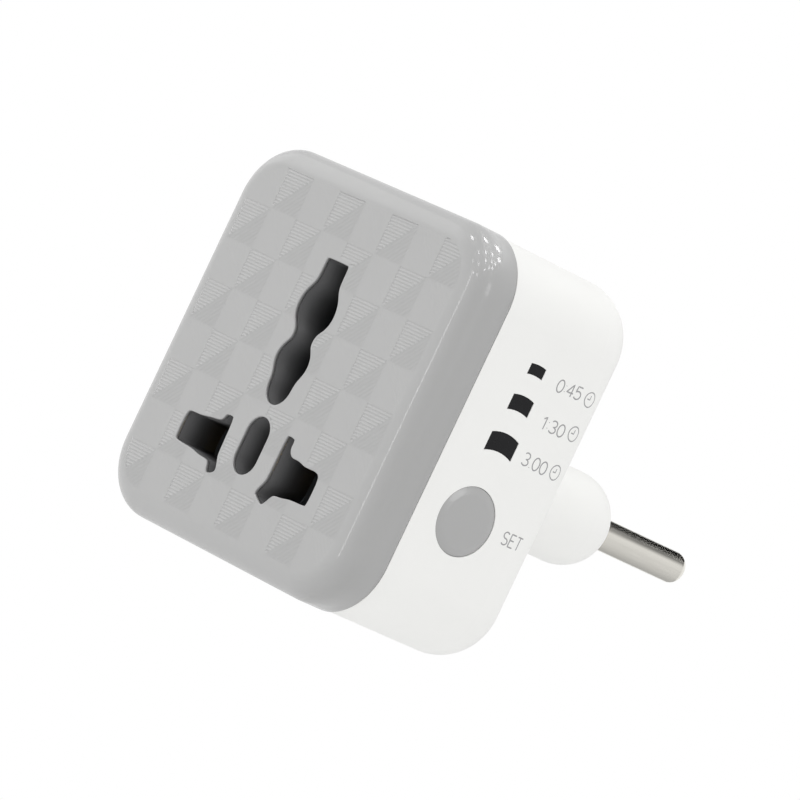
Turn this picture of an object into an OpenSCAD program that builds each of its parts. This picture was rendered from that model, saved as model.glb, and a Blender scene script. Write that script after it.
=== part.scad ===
// Plug in timer switch: a socket on the front, a two-pin plug on the back, and a timer button with
// three status windows on the right side.
// Millimetres. The origin is the centre of the plug's end face, midway between its pins. +X points
// right on the socket face, +Z points up, and +Y points the way the pins go into the outlet.
// Inside the modules a place is given as (x, d, z): d is the depth behind the socket face, and
// x and z are counted from the centre of that face. at_case() moves that into the frame above.

/* [Case] */
// Width across the socket face (mm)
case_w = 52; // [51.6:0.2:58]
// Height of the socket face (mm)
case_h = 52; // [51.6:0.2:58]
// Depth from the socket face to the back of the housing, without the plug (mm)
case_d = 30.8; // [30.4:0.2:36]
// Radius of the four corners seen from the front (mm)
corner_r = 8.4; // [8:0.1:9]
// Rounding of the housing's back edges (mm)
back_r = 6.6; // [5:0.2:7]
// Thickness of the walls (mm)
wall_t = 2; // [1.6:0.1:2.2]
// Step from the cover's side in to the housing's side (mm)
housing_step = 0.2; // [0.1:0.05:0.5]

/* [Cover] */
// Depth of the front cover (mm)
cover_d = 7.1; // [6.6:0.1:8]
// Thickness of the cover's face (mm)
face_t = 2; // [1.6:0.1:2.6]
// Rounding of the cover's front edges (mm)
front_r = 3.2; // [2.4:0.1:3.6]
// Thickness of the cover's edge round the socket's openings (mm)
opening_lip = 0.5; // [0.4:0.1:1]
// Thickness of the insert's walls behind the socket's openings (mm)
collar_t = 1.3; // [1:0.1:1.6]
// Thickness of the web that joins the insert's walls (mm)
insert_web_t = 1.2; // [0.8:0.1:2]

/* [Socket openings] */
// Drop from the centre of the face to the row of round holes (mm)
row_drop = 12.9; // [12.6:0.1:13.2]
// Distance from the middle to the outer end of a side slot (mm)
side_slot_reach = 14.75; // [14.6:0.05:15]
// Height of a side slot (mm)
side_slot_h = 4.3; // [4.2:0.1:4.5]
// Distance from the middle to the centre of a round hole (mm)
round_hole_x = 9.5; // [9.3:0.1:9.7]
// Radius of a round hole (mm)
round_hole_r = 2.55; // [2.4:0.05:2.7]
// Distance from the middle to the inner edge of a blade slot (mm)
blade_slot_x = 5.65; // [5.6:0.05:5.8]
// Width of a blade slot (mm)
blade_slot_w = 1.7; // [1.6:0.1:2]
// Height of the left blade slot above the row (mm)
left_blade_rise = 3.85; // [3.5:0.05:4]
// Height of the right blade slot above the row (mm)
right_blade_rise = 4.75; // [4.4:0.05:4.9]
// Width of the left slanted slot (mm)
left_slant_w = 1.2; // [1:0.1:1.6]
// Width of the right slanted slot (mm)
right_slant_w = 2.1; // [1.8:0.1:2.3]
// Drop from the row to the inner corner of a slanted slot's end (mm)
slant_drop = 3.5; // [3:0.1:3.6]
// Width of the long slot's straight parts (mm)
long_slot_w = 4.7; // [4.4:0.1:4.8]
// Height of the long slot's square top end above the centre of the face (mm)
long_slot_top = 14.4; // [14:0.1:14.6]
// Drop from the centre of the face to the long slot's round lower end (mm)
long_slot_foot = 5.4; // [5:0.1:5.6]
// Radius of the long slot's large round part (mm)
large_round_r = 3.8; // [3.6:0.1:3.9]
// Height of the large round part above the centre of the face (mm)
large_round_z = 7.75; // [7.5:0.05:8]
// Radius of the long slot's small round part (mm)
small_round_r = 3.35; // [3.2:0.05:3.5]
// Height of the small round part above the centre of the face (mm)
small_round_z = 0.6; // [0.4:0.1:0.9]
// Length of the short middle slot from end to end (mm)
middle_slot_h = 7.8; // [7.4:0.1:8]
// Width of the short middle slot (mm)
middle_slot_w = 4.6; // [4.4:0.1:4.8]

/* [Plug] */
// Width of the plug body on the back (mm)
plug_w = 37; // [35:0.5:40]
// Height of the plug body (mm)
plug_h = 12.6; // [12.4:0.1:13.4]
// Length of the plug body behind the housing (mm)
plug_l = 17.4; // [16:0.2:20]
// Rounding of the plug body's end (mm)
plug_end_r = 6.2; // [4:0.2:6.2]
// Drop from the centre of the face to the middle of the plug (mm)
plug_drop = 2.65; // [2.4:0.05:3]
// Distance between the two pins (mm)
pin_pitch = 18.6; // [17.5:0.1:19.2]
// Diameter of a plug pin (mm)
pin_dia = 4.3; // [3.8:0.1:4.8]
// Length of a plug pin beyond the plug body (mm)
pin_l = 19; // [18:0.5:20]
// Rounding of a plug pin's tip (mm)
pin_tip_r = 1.5; // [0.8:0.1:1.6]
// Thickness of the plug body's end wall (mm)
plug_end_t = 5; // [4.6:0.1:5.4]
// Thickness of the plate that holds the pins in (mm)
retainer_t = 1.6; // [1.2:0.1:2]

/* [Button and windows] */
// Depth of the timer button's centre behind the face (mm)
button_depth = 15.5; // [15.2:0.1:16]
// Drop from the centre of the face to the button's centre (mm)
button_drop = 8.3; // [8:0.1:8.5]
// Radius of the button (mm)
button_r = 4.5; // [4.2:0.1:4.7]
// Height that the button stands out of the housing (mm)
button_proud = 0.1; // [0.05:0.05:0.6]
// Travel of the button (mm)
button_travel = 0.3; // [0.2:0.05:0.35]
// Depth of the status windows' centres behind the face (mm)
window_depth = 15.5; // [15.2:0.1:16]
// Radius of the windows' curved edges (mm)
window_arc_r = 6.5; // [5:0.5:9]
// Width of the small, the medium and the large window (mm)
window_ws = [2.6, 3.6, 4.8];
// Height of the small, the medium and the large window (mm)
window_hs = [1.35, 2, 2.45];
// Height of the small, the medium and the large window above the centre of the face (mm)
window_zs = [12.6, 8, 2.6];

/* [Socket contacts] */
// Room between the contact carrier's back and the back wall, for the leads (mm)
wiring_room = 5.8; // [5.6:0.1:6.2]
// Thickness of the carrier's lid (mm)
lid_t = 1.5; // [1.2:0.1:1.6]
// Thickness of the contact strips (mm)
strip_t = 0.5; // [0.4:0.1:0.6]
// Gap between a contact's two leaves when a pin spreads them (mm)
leaf_gap = 4.2; // [4.1:0.1:4.3]
// Width of a contact's solder tab (mm)
tab_w = 3; // [2.4:0.1:3.2]

/* [Boards] */
// Thickness of the circuit boards (mm)
board_t = 1.6; // [1:0.1:1.6]
// Gap between a board and the side wall (mm)
board_gap = 3.8; // [3.8:0.1:4.2]
// Height of the circuit boards (mm)
board_h = 29; // [29:0.1:29.4]
// Depth of the boards' front edge behind the face (mm)
board_front = 8; // [7.8:0.1:8.1]
// Gap between the boards' back edge and the housing's back wall (mm)
board_back_gap = 1.4; // [1:0.1:1.8]

/* [Relay] */
// Gap between the relay and the contact carrier (mm)
relay_gap = 0.75; // [0.6:0.05:1]
// Length of the relay along its board (mm)
relay_l = 17.6; // [17.4:0.1:17.8]
// Width of the relay (mm)
relay_w = 10.1; // [9.9:0.1:10.4]
// Thickness of the relay's cover (mm)
relay_wall = 0.5; // [0.4:0.1:0.6]
// Radius of the coil's winding (mm)
coil_r = 3.2; // [2.8:0.1:3.4]

/* [Board parts] */
// Gap between the suppression capacitor and the contact carrier (mm)
suppressor_gap = 2.05; // [0.6:0.05:3]
// Gap between the suppression capacitor and the middle of the leads behind it (mm)
suppressor_back_gap = 1.6; // [1.4:0.1:2.4]
// Length of the suppression capacitor up the board (mm)
suppressor_l = 13; // [10:0.1:13.2]
// Radius of the varistor's disc (mm)
varistor_r = 2.75; // [2.4:0.05:2.8]
// Gap between the varistor and the screw head behind it (mm)
varistor_gap = 0.8; // [0.6:0.1:1.4]
// Radius of the fuse resistor (mm)
fuse_r = 1.2; // [0.9:0.1:1.2]
// Length of the fuse resistor (mm)
fuse_l = 6.5; // [5:0.1:6.6]
// Radius of the smoothing capacitor (mm)
smoother_r = 4; // [3:0.1:4]
// Gap between the smoothing capacitor's top and the contact carrier (mm)
smoother_gap = 1.55; // [0.6:0.05:5]
// Size of the bridge rectifier off the board, along its depth and up (mm)
rectifier_size = [2.5, 5, 5];
// Side of the switch's square body (mm)
switch_w = 6; // [5.6:0.1:6.2]
// Height of the switch's body (mm)
switch_h = 1.5; // [1.4:0.1:1.6]
// Radius of the leads (mm)
lead_r = 0.8; // [0.6:0.05:0.85]
// Bend radius of the leads (mm)
lead_bend = 2; // [1.4:0.1:3]

/* [Fasteners] */
// Shank radius of the four case screws (mm)
case_screw_r = 1.25; // [1:0.05:1.3]
// Head radius of the four case screws (mm)
case_head_r = 2.3; // [2.1:0.05:2.4]
// Shank radius of the small screws inside (mm)
small_screw_r = 0.75; // [0.6:0.05:0.8]
// Head radius of the small screws inside (mm)
small_head_r = 1.5; // [1.3:0.05:1.6]
// Distance from the case's sides in to the case screws (mm)
screw_inset = 7.1; // [7:0.05:7.2]
// Height of the case screws above and below the middle of the face (mm)
screw_rise = 18.9; // [18.8:0.05:19]
// Radius of the cover's screw posts (mm)
post_r = 2.8; // [2.2:0.1:2.9]

/* [Clearances] */
// Dark joint line between the cover and the housing (mm)
joint_gap = 0.15; // [0.1:0.05:0.3]
// Gap between parts that sit on each other (mm)
seat_gap = 0.05; // [0.02:0.01:0.1]
// Gap round the cover's lip, the contacts and other loose fits (mm)
loose_gap = 0.1; // [0.06:0.02:0.14]
// Distance from the back wall in to the middle of the leads (mm)
lead_inset = 2.6; // [2.4:0.1:2.8]
// Gap round the timer button (mm)
button_gap = 0.15; // [0.1:0.05:0.2]

/* [Hidden] */
$fn = 48;
overlap = 1;
case_x = case_w / 2;
case_z = case_h / 2;
house_x = case_x - housing_step;
house_z = case_z - housing_step;
wall_x = house_x - wall_t;
wall_z = house_z - wall_t;
back_in = case_d - wall_t;
plug_end = case_d + plug_l;
plug_floor = plug_end - plug_end_t;
pin_r = pin_dia / 2;
pin_x = pin_pitch / 2;
plug_z = -plug_drop;
row_z = -row_drop;
lead_depth = back_in - lead_inset;
screw_x = case_x - screw_inset;

// Cover and housing
collar_end = cover_d - joint_gap;
lip_front = 4.6;
lip_t = 1.2;
lip_step = 1.5;
lip_back = cover_d + lip_step;
post_end = 14;
recess_r = case_head_r + 0.2;
tube_r = recess_r + 0.6;
recess_t = 2;
recess_floor = post_end + recess_t;
screw_bite = 7;
screw_bore_room = 1;
screw_bore_end = screw_bite - screw_bore_room;
pin_head_r = 3.2;
pin_head_t = 2;
pin_root_r = pin_r + 0.5;
pin_tail_r = 1.1;
pin_tail_l = 6.6;
tail_end = plug_floor - pin_tail_l;
pin_fit = 0.03;
retainer_post_r = 2.5;
retainer_bite = 2.5;
retainer_bore = 3;
retainer_gap = 0.7;
retainer_front = plug_floor - pin_head_t - seat_gap - retainer_t;
strip_w = 6.2;
strip_bottom = -0.2;
strip_top = 14.2;
strip_thick = 0.9;
small_head_t = 1.2;
case_head_t = 1.6;
strip_x = wall_x - seat_gap - strip_thick;

// Carrier and contacts
carrier_front = collar_end + seat_gap;
carrier_back = back_in - wiring_room;
carrier_stem_x = 5.3;
carrier_foot_inset = 7.1;
carrier_foot = carrier_foot_inset - case_z;
carrier_shoulder = -5.6;
carrier_head = 15.8;
carrier_post_r = 1.8;
carrier_post_x = 10.5;
carrier_post_inset = 5.6;
carrier_low_z = carrier_post_inset - case_z;
carrier_high_z = 18.2;
carrier_posts = [[-carrier_post_x, carrier_low_z], [carrier_post_x, carrier_low_z], [0, carrier_high_z]];
carrier_bite = 3.4;
ear_r = 2;
ear_t = 2;
ear_l = 2.6;
chamber_t = 1.3;
chamber_front = carrier_front + chamber_t;
leaf_space = 0.2;
leaf_front = chamber_front + leaf_space;
leaf_in = 7.7;
side_leaf_in = 4.95;
base_back = carrier_back - loose_gap;
tab_back = lead_depth + lead_r;
lid_back = carrier_back + seat_gap + lid_t;
lid_screw_z = -7.6;
lid_bite = 5;
lid_bore = 7;
slant_angle = 30;
slant_in = 4.7;
slant_l = 5;

// Boards
board_out = wall_x - board_gap;
board_in = board_out - board_t;
board_back = back_in - board_back_gap;
part_x = board_in - seat_gap;
outer_x = board_out + seat_gap;
carrier_side_gap = 2.15;
carrier_side_t = 1.4;
carrier_wide_x = part_x - carrier_side_gap;
leaf_out = carrier_wide_x - carrier_side_t;
fuse_rise = 0.2;
fuse_side = part_x - fuse_rise - 2 * fuse_r;
lid_screw_x = (pin_x + lead_r + fuse_side) / 2;
part_room = part_x - carrier_stem_x;
board_post_r = 1.8;
board_screw_inset = 2.2;
board_bite = 2.8;
board_screws = [[board_back - board_screw_inset, 12.6], [9.9, -13.3]];
part_leg_r = 0.3;
led_size = [0.75, 0.8, 1.6];
chip_size = [0.55, 1.25, 2];

// Relay
relay_h = part_room - relay_gap;
relay_front = 8.5;
relay_bottom = -4;
relay_mid = relay_front + relay_w / 2;
relay_base_t = 1.5;
relay_inner = relay_base_t + seat_gap;
yoke_t = 0.8;
yoke_w = 6;
coil_z = 3.4;
core_r = 1.4;
flange_r = coil_r + 0.3;
flange_t = 0.6;
bobbin_t = 0.5;
bobbin_room = 0.2;
core_room = 3.35;
core_end = relay_h - core_room;
hinge_room = 2.8;
hinge_x = relay_h - hinge_room;
hinge_z = 8.2;
armature_foot = -3.1;
armature_top = 8.6;
contact_z = -2.2;
rivet_r = 0.9;
rivet_t = 0.4;
fixed_room = 4.1;
fixed_face = relay_h - fixed_room;
fixed_reach = 1;
fixed_w = 4;
fixed_drop = 0.2;

// Other parts on the boards
suppressor_bottom = -4.4;
suppressor_front_gap = 1;
suppressor_front = relay_front + relay_w + suppressor_front_gap;
suppressor_back = lead_depth - suppressor_back_gap;
varistor_front = 19.4;
varistor_back = board_screws[0][0] - small_head_r - varistor_gap;
varistor_z = 11.8;
fuse_bottom = -10.6;
fuse_leg = 1;
smoother_depth = 13.5;
smoother_z = 3;
smoother_groove = 0.4;
smoother_groove_x = 1.6;
smoother_rim = 1;
rectifier_front = 19.5;
rectifier_bottom = -4;
chip_inset = 1.9;
chip_back = board_back - chip_inset;
chip_depth = 4;
chip_front = chip_back - chip_depth;
chip_rise = 0.1;
chip_bottom = switch_w / 2 - button_drop + chip_rise;
chip_h = 4.8;
chip_top_x = 1.6;
chip_under = 0.1;
chip_leg_w = 0.4;
chip_leg_l = 0.8;
chip_leg_x = 0.9;
chip_leg_in = 0.6;
chip_leg_pitch = 1.2;
resistor_front = 19.6;
ribbon_r = 0.5;
ribbon_pitch = 0.9;
ribbon_z = 7.5;

// Button and switch
button_x = house_x + button_proud;
button_bevel = 0.3;
button_flange_r = button_r + 0.7;
button_flange_t = 0.8;
button_stem_r = 1.4;
plunger_rise = 0.55;
plunger_floor_t = 0.4;
plunger_rest_gap = 0.1;
baffle_gap = 0.2;
button_flange_x = wall_x - button_gap - button_flange_t;
plunger_r = 1.65;
plunger_top = outer_x + switch_h + plunger_rise;
plunger_bore_floor = outer_x + plunger_floor_t;
plunger_bottom = plunger_bore_floor + button_travel + plunger_rest_gap;

// ---- placing and extruding ----

module at_case() {
    translate([0, -plug_end, plug_drop]) children();
}

// Extrudes an (x, z) outline from depth d0 to d1.
module depth_extrude(d0, d1) {
    translate([0, d1, 0]) rotate([90, 0, 0]) linear_extrude(height = d1 - d0) children();
}

// Extrudes a (d, z) outline from x0 to x1.
module side_extrude(x0, x1) {
    translate([x0, 0, 0]) rotate([90, 0, 90]) linear_extrude(height = x1 - x0) children();
}

// Turns an (r, d) outline about the depth direction.
module turned(angle = 360) {
    rotate([-90, 0, 0]) rotate_extrude(angle = angle) children();
}

module rod(r, d0, d1) {
    translate([0, d0, 0]) rotate([-90, 0, 0]) cylinder(r = r, h = d1 - d0);
}

module side_rod(r, x0, x1) {
    translate([x0, 0, 0]) rotate([0, 90, 0]) cylinder(r = r, h = x1 - x0);
}

module box(x0, x1, d0, d1, z0, z1) {
    translate([x0, d0, z0]) cube([x1 - x0, d1 - d0, z1 - z0]);
}

// An (r, d) outline from the middle out to reach, its two outer corners rounded.
module edge_profile(reach, d0, d1, front, back) {
    difference() {
        translate([0, d0]) square([reach, d1 - d0]);
        if (front > 0) difference() {
            translate([reach - front, d0 - overlap]) square([front + overlap, front + overlap]);
            translate([reach - front, d0 + front]) circle(r = front);
        }
        if (back > 0) difference() {
            translate([reach - back, d1 - back]) square([back + overlap, back + overlap]);
            translate([reach - back, d1 - back]) circle(r = back);
        }
    }
}

// A block with rounded corners and rounded front and back edges.
module rounded_block(w, h, r, d0, d1, front, back) {
    cx = w / 2 - r;
    cz = h / 2 - r;
    for (k = [0 : 3])
        translate([(k == 0 || k == 3) ? cx : -cx, 0, k < 2 ? -cz : cz])
            rotate([0, 90 * k, 0]) turned(90) edge_profile(r, d0, d1, front, back);
    for (k = [0, 1]) {
        mirror([0, 0, k]) side_extrude(-cx, cx) mirror([1, -1])
            edge_profile(h / 2, d0, d1, front, back);
        if (cz > 0)
            mirror([k, 0, 0]) translate([0, 0, -cz]) linear_extrude(height = 2 * cz)
                edge_profile(w / 2, d0, d1, front, back);
    }
}

// Turns an (r, x) outline about the sideways direction.
module side_turned() {
    rotate([0, 90, 0]) rotate_extrude() children();
}

// A screw with its seat at d = 0, its head in front of it and its shank behind.
module screw(head_r, head_t, shank_r, shank_l) {
    slot_w = head_r / 4;
    slot_l = head_r * 1.3;
    difference() {
        union() {
            rod(head_r, -head_t, 0);
            rod(shank_r, -head_t / 2, shank_l);
        }
        box(-slot_w / 2, slot_w / 2, -head_t - overlap, -head_t / 2, -slot_l / 2, slot_l / 2);
        box(-slot_l / 2, slot_l / 2, -head_t - overlap, -head_t / 2, -slot_w / 2, slot_w / 2);
    }
}

module small_screw(shank_l) {
    screw(small_head_r, small_head_t, small_screw_r, shank_l);
}

// Places children at the four case screws, the first at the lower left.
module at_case_screw(k) {
    translate([k % 2 == 0 ? -screw_x : screw_x, 0, k < 2 ? -screw_rise : screw_rise]) children();
}

// ---- socket openings: (x, z) outlines, grown by g on every side ----

module long_slot(g) {
    r = long_slot_w / 2;
    foot_z = r - long_slot_foot;
    translate([-r - g, foot_z]) square([2 * (r + g), long_slot_top + g - foot_z]);
    translate([0, foot_z]) circle(r = r + g);
    translate([0, large_round_z]) circle(r = large_round_r + g);
    translate([0, small_round_z]) circle(r = small_round_r + g);
}

module middle_slot(g) {
    r = middle_slot_w / 2 + g;
    rise = middle_slot_h - middle_slot_w;
    translate([-r, row_z]) square([2 * r, rise]);
    translate([0, row_z]) circle(r = r);
    translate([0, row_z + rise]) circle(r = r);
}

module side_slot(blade_rise, slant_w, g) {
    r = side_slot_h / 2;
    body_x = blade_slot_x + blade_slot_w / 2;
    translate([body_x, row_z - r - g]) square([side_slot_reach + g - body_x, 2 * (r + g)]);
    translate([round_hole_x, row_z]) circle(r = round_hole_r + g);
    translate([blade_slot_x - g, row_z - r - g]) square([blade_slot_w + 2 * g, blade_rise + r + 2 * g]);
    translate([slant_in, row_z - slant_drop]) rotate(-slant_angle)
        translate([-g, -g]) square([slant_w + 2 * g, slant_l + g]);
}

module side_slots(g) {
    side_slot(right_blade_rise, right_slant_w, g);
    mirror([1, 0]) side_slot(left_blade_rise, left_slant_w, g);
}

module openings(g) {
    long_slot(g);
    middle_slot(g);
    side_slots(g);
}

// ---- case ----

module front_cover() {
    color("#cfcfce") at_case() difference() {
        union() {
            difference() {
                rounded_block(case_w, case_h, corner_r, 0, collar_end, front_r, 0);
                rounded_block(case_w - 2 * wall_t, case_h - 2 * wall_t, corner_r - wall_t,
                    face_t, cover_d + overlap, front_r - wall_t, 0);
            }
            for (k = [0 : 3]) at_case_screw(k) rod(post_r, face_t / 2, post_end);
            for (p = carrier_posts) translate([p[0], 0, p[1]]) rod(carrier_post_r, face_t / 2, collar_end);
        }
        depth_extrude(-overlap, face_t + overlap) openings(0);
        depth_extrude(opening_lip, cover_d + overlap) openings(collar_t + seat_gap);
        for (k = [0 : 3])
            at_case_screw(k) rod(case_screw_r + seat_gap, screw_bore_end, post_end + overlap);
        for (p = carrier_posts)
            translate([p[0], 0, p[1]]) rod(small_screw_r + seat_gap, face_t + overlap, cover_d + overlap);
    }
}

// The dark insert that lines the openings, behind the cover's edge.
module socket_insert() {
    web_x = side_slot_reach + collar_t;
    web_z = side_slot_h / 2 + collar_t;
    color("#26282b") at_case() difference() {
        union() {
            depth_extrude(opening_lip + seat_gap, collar_end) openings(collar_t);
            box(-web_x, web_x, collar_end - insert_web_t, collar_end, row_z - web_z, row_z + web_z);
        }
        depth_extrude(-overlap, cover_d + overlap) openings(0);
    }
}

// The rim of the housing that reaches into the cover.
module housing_lip() {
    lip_x = case_x - wall_t - loose_gap;
    lip_z = case_z - wall_t - loose_gap;
    lip_r = corner_r - wall_t - loose_gap;
    root = wall_t / 2;
    difference() {
        union() {
            rounded_block(2 * lip_x, 2 * lip_z, lip_r, lip_front, lip_back, 0, 0);
            rounded_block(2 * (wall_x + root), 2 * (wall_z + root), lip_r + root, cover_d, lip_back, 0, 0);
        }
        rounded_block(2 * (lip_x - lip_t), 2 * (lip_z - lip_t), lip_r - lip_t,
            lip_front - overlap, lip_back + overlap, 0, 0);
        for (k = [0 : 3]) at_case_screw(k) rod(post_r + loose_gap, lip_front - overlap, lip_back + overlap);
        for (p = carrier_posts)
            translate([p[0], 0, p[1]]) rod(ear_r + loose_gap, lip_front - overlap, lip_back + overlap);
    }
}

// Posts that the two boards are screwed to.
module board_posts(r, x0, x1) {
    for (side = [0, 1])
        for (p = board_screws)
            mirror([side, 0, 0]) translate([0, p[0], p[1]]) side_rod(r, x0, x1);
}

module housing_shell() {
    inner_h = plug_h - 2 * wall_t;
    difference() {
        union() {
            rounded_block(2 * house_x, 2 * house_z, corner_r - housing_step, cover_d, case_d, 0, back_r);
            translate([0, 0, plug_z])
                rounded_block(plug_w, plug_h, plug_h / 2, back_in, plug_end, 0, plug_end_r);
        }
        rounded_block(2 * wall_x, 2 * wall_z, corner_r - housing_step - wall_t,
            cover_d - overlap, back_in, 0, back_r - wall_t);
        translate([0, 0, plug_z])
            rounded_block(plug_w - 2 * wall_t, inner_h, inner_h / 2, back_in - overlap, plug_floor, 0, 0);
    }
}

module rear_housing() {
    color("#f1f1ef") at_case() difference() {
        union() {
            housing_shell();
            housing_lip();
            for (k = [0 : 3]) at_case_screw(k) rod(tube_r, post_end + seat_gap, back_in + overlap / 2);
            board_posts(board_post_r, outer_x, wall_x + overlap / 2);
            translate([0, 0, plug_z])
                rod(retainer_post_r, plug_floor - pin_head_t, plug_floor + overlap / 2);
        }
        for (k = [0 : 3]) at_case_screw(k) {
            rod(case_screw_r + loose_gap, post_end - overlap, recess_floor + overlap);
            rod(recess_r, recess_floor, plug_end);
        }
        board_posts(small_screw_r + seat_gap, board_out - overlap, wall_x - overlap / 2);
        translate([0, 0, plug_z])
            rod(small_screw_r + seat_gap, plug_floor - retainer_bore, plug_floor + retainer_bore);
        for (x = [-pin_x, pin_x]) translate([x, 0, plug_z])
            rod(pin_root_r + pin_fit, plug_floor - overlap, plug_end + overlap);
        for (k = [0 : 2]) side_extrude(wall_x - overlap, house_x + overlap) window(k, seat_gap);
        translate([0, button_depth, -button_drop])
            side_rod(button_r + button_gap, wall_x - overlap, house_x + overlap);
    }
}

module case_screw(k) {
    color("#b9bcc0") at_case() at_case_screw(k) translate([0, recess_floor + seat_gap, 0])
        rotate([0, 0, 180]) screw(case_head_r, case_head_t, case_screw_r, recess_floor - screw_bite);
}

// ---- plug ----

module plug_pin(side) {
    color("#c9c6bd") at_case() translate([side * pin_x, 0, plug_z]) turned() {
        edge_profile(pin_r, plug_floor, plug_end + pin_l, 0, pin_tip_r);
        translate([0, plug_floor - overlap])
            square([pin_root_r, plug_end - plug_floor + overlap]);
        translate([0, plug_floor - pin_head_t]) square([pin_head_r, pin_head_t - seat_gap]);
        translate([0, tail_end]) square([pin_tail_r, plug_floor - tail_end - overlap]);
    }
}

module pin_retainer() {
    r = plug_h / 2 - wall_t - retainer_gap;
    color("#4a4d50") at_case() translate([0, 0, plug_z]) difference() {
        depth_extrude(retainer_front, retainer_front + retainer_t) {
            for (side = [-1, 1]) translate([side * (pin_x + 1), 0]) circle(r = r);
            translate([-pin_x - 1, -r]) square([2 * (pin_x + 1), 2 * r]);
        }
        for (x = [-pin_x, pin_x])
            translate([x, 0, 0]) rod(pin_tail_r + loose_gap, retainer_front - overlap, plug_floor);
        rod(small_screw_r + loose_gap, retainer_front - overlap, plug_floor);
    }
}

module retainer_screw() {
    color("#b9bcc0") at_case() translate([0, retainer_front - seat_gap, plug_z])
        small_screw(retainer_t + pin_head_t + retainer_bite);
}

// ---- contact carrier ----

module carrier_outline() {
    difference() {
        translate([-carrier_wide_x, carrier_foot])
            square([2 * carrier_wide_x, carrier_shoulder - carrier_foot]);
        for (x = [-screw_x, screw_x]) translate([x, -screw_rise]) circle(r = tube_r + loose_gap);
    }
    translate([-carrier_stem_x, carrier_shoulder - overlap])
        square([2 * carrier_stem_x, carrier_head - carrier_shoulder + overlap]);
}

// The (x, z) outline that a contact fills, on the right.
module contact_outline(g) {
    reach_z = leaf_gap / 2 + strip_t + g;
    translate([side_leaf_in - g, row_z - reach_z]) square([leaf_out - side_leaf_in + 2 * g, 2 * reach_z]);
}

module carrier_ear(p) {
    translate([p[0], 0, p[1]]) rod(ear_r, carrier_front, carrier_front + ear_t);
    z0 = p[1] > 0 ? p[1] - ear_l : p[1];
    box(p[0] - ear_r, p[0] + ear_r, carrier_front, carrier_front + ear_t, z0, z0 + ear_l);
}

module contact_carrier() {
    color("#3c3f44") at_case() difference() {
        union() {
            depth_extrude(carrier_front, carrier_back) carrier_outline();
            for (p = carrier_posts) carrier_ear(p);
        }
        depth_extrude(carrier_front - overlap, carrier_back + overlap) openings(loose_gap);
        for (side = [0, 1])
            mirror([side, 0, 0]) depth_extrude(chamber_front, carrier_back + overlap)
                contact_outline(loose_gap);
        for (p = carrier_posts)
            translate([p[0], 0, p[1]])
                rod(small_screw_r + loose_gap, carrier_front - overlap, carrier_front + ear_t + overlap);
        for (side = [-1, 1])
            translate([side * lid_screw_x, 0, lid_screw_z])
                rod(small_screw_r + seat_gap, carrier_back - lid_bore, carrier_back + overlap);
    }
}

module carrier_lid() {
    color("#54585e") at_case() depth_extrude(carrier_back + seat_gap, lid_back) difference() {
        carrier_outline();
        for (side = [-1, 1]) {
            translate([side * pin_x - tab_w / 2 - loose_gap, row_z - strip_t / 2 - loose_gap])
                square([tab_w + 2 * loose_gap, strip_t + 2 * loose_gap]);
            translate([side * lid_screw_x, lid_screw_z]) circle(r = small_screw_r + loose_gap);
        }
    }
}

module carrier_screw(k) {
    p = carrier_posts[k];
    color("#b9bcc0") at_case() translate([p[0], carrier_front + ear_t + seat_gap, p[1]])
        rotate([0, 0, 180]) small_screw(ear_t + carrier_bite);
}

module lid_screw(side) {
    color("#b9bcc0") at_case() translate([side * lid_screw_x, lid_back + seat_gap, lid_screw_z])
        rotate([0, 0, 180]) small_screw(lid_t + lid_bite);
}

// One contact: two leaves that grip a round pin, one that a blade bears on, their base and a tab.
module side_contact(side) {
    leaf_w = leaf_out - leaf_in;
    color("#c9a24a") at_case() mirror([side < 0 ? 1 : 0, 0, 0]) {
        depth_extrude(leaf_front, base_back) {
            translate([leaf_in, row_z + leaf_gap / 2]) square([leaf_w, strip_t]);
            translate([leaf_in, row_z - leaf_gap / 2 - strip_t]) square([leaf_w, strip_t]);
            translate([side_leaf_in, row_z - leaf_gap / 2]) square([strip_t, leaf_gap]);
        }
        depth_extrude(base_back - strip_t, base_back) contact_outline(0);
        depth_extrude(base_back - strip_t, tab_back)
            translate([pin_x - tab_w / 2, row_z - strip_t / 2]) square([tab_w, strip_t]);
    }
}

// ---- boards ----

// The power board stands on the left and the control board on the right.
module board(side) {
    color("#2f6b3f") at_case() mirror([side < 0 ? 1 : 0, 0, 0]) difference() {
        box(board_in, board_out, board_front, board_back, -board_h / 2, board_h / 2);
        for (p = board_screws)
            translate([0, p[0], p[1]])
                side_rod(small_screw_r + loose_gap, board_in - overlap, board_out + overlap);
    }
}

module board_screw(side, k) {
    p = board_screws[k];
    color("#b9bcc0") at_case() mirror([side < 0 ? 1 : 0, 0, 0]) translate([part_x, p[0], p[1]])
        rotate([0, 0, -90]) small_screw(board_t + board_bite);
}

// x is counted from the power board's inner face, towards the middle of the case.
module on_power_board() {
    at_case() translate([-part_x, 0, 0]) children();
}

// x is counted from the control board's inner face, towards the middle of the case.
module on_control_board() {
    at_case() mirror([1, 0, 0]) translate([-part_x, 0, 0]) children();
}

// x is counted from the control board's outer face, towards the side wall.
module behind_control_board() {
    at_case() translate([outer_x, 0, 0]) children();
}

// ---- relay ----

module relay_base() {
    color("#23262b") on_power_board()
        box(0, relay_base_t, relay_front, relay_front + relay_w, relay_bottom, relay_bottom + relay_l);
}

module relay_cover() {
    back = relay_front + relay_w;
    top = relay_bottom + relay_l;
    color("#3566a8") on_power_board() difference() {
        box(relay_inner, relay_h, relay_front, back, relay_bottom, top);
        box(relay_inner - overlap, relay_h - relay_wall, relay_front + relay_wall, back - relay_wall,
            relay_bottom + relay_wall, top - relay_wall);
    }
}

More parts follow.
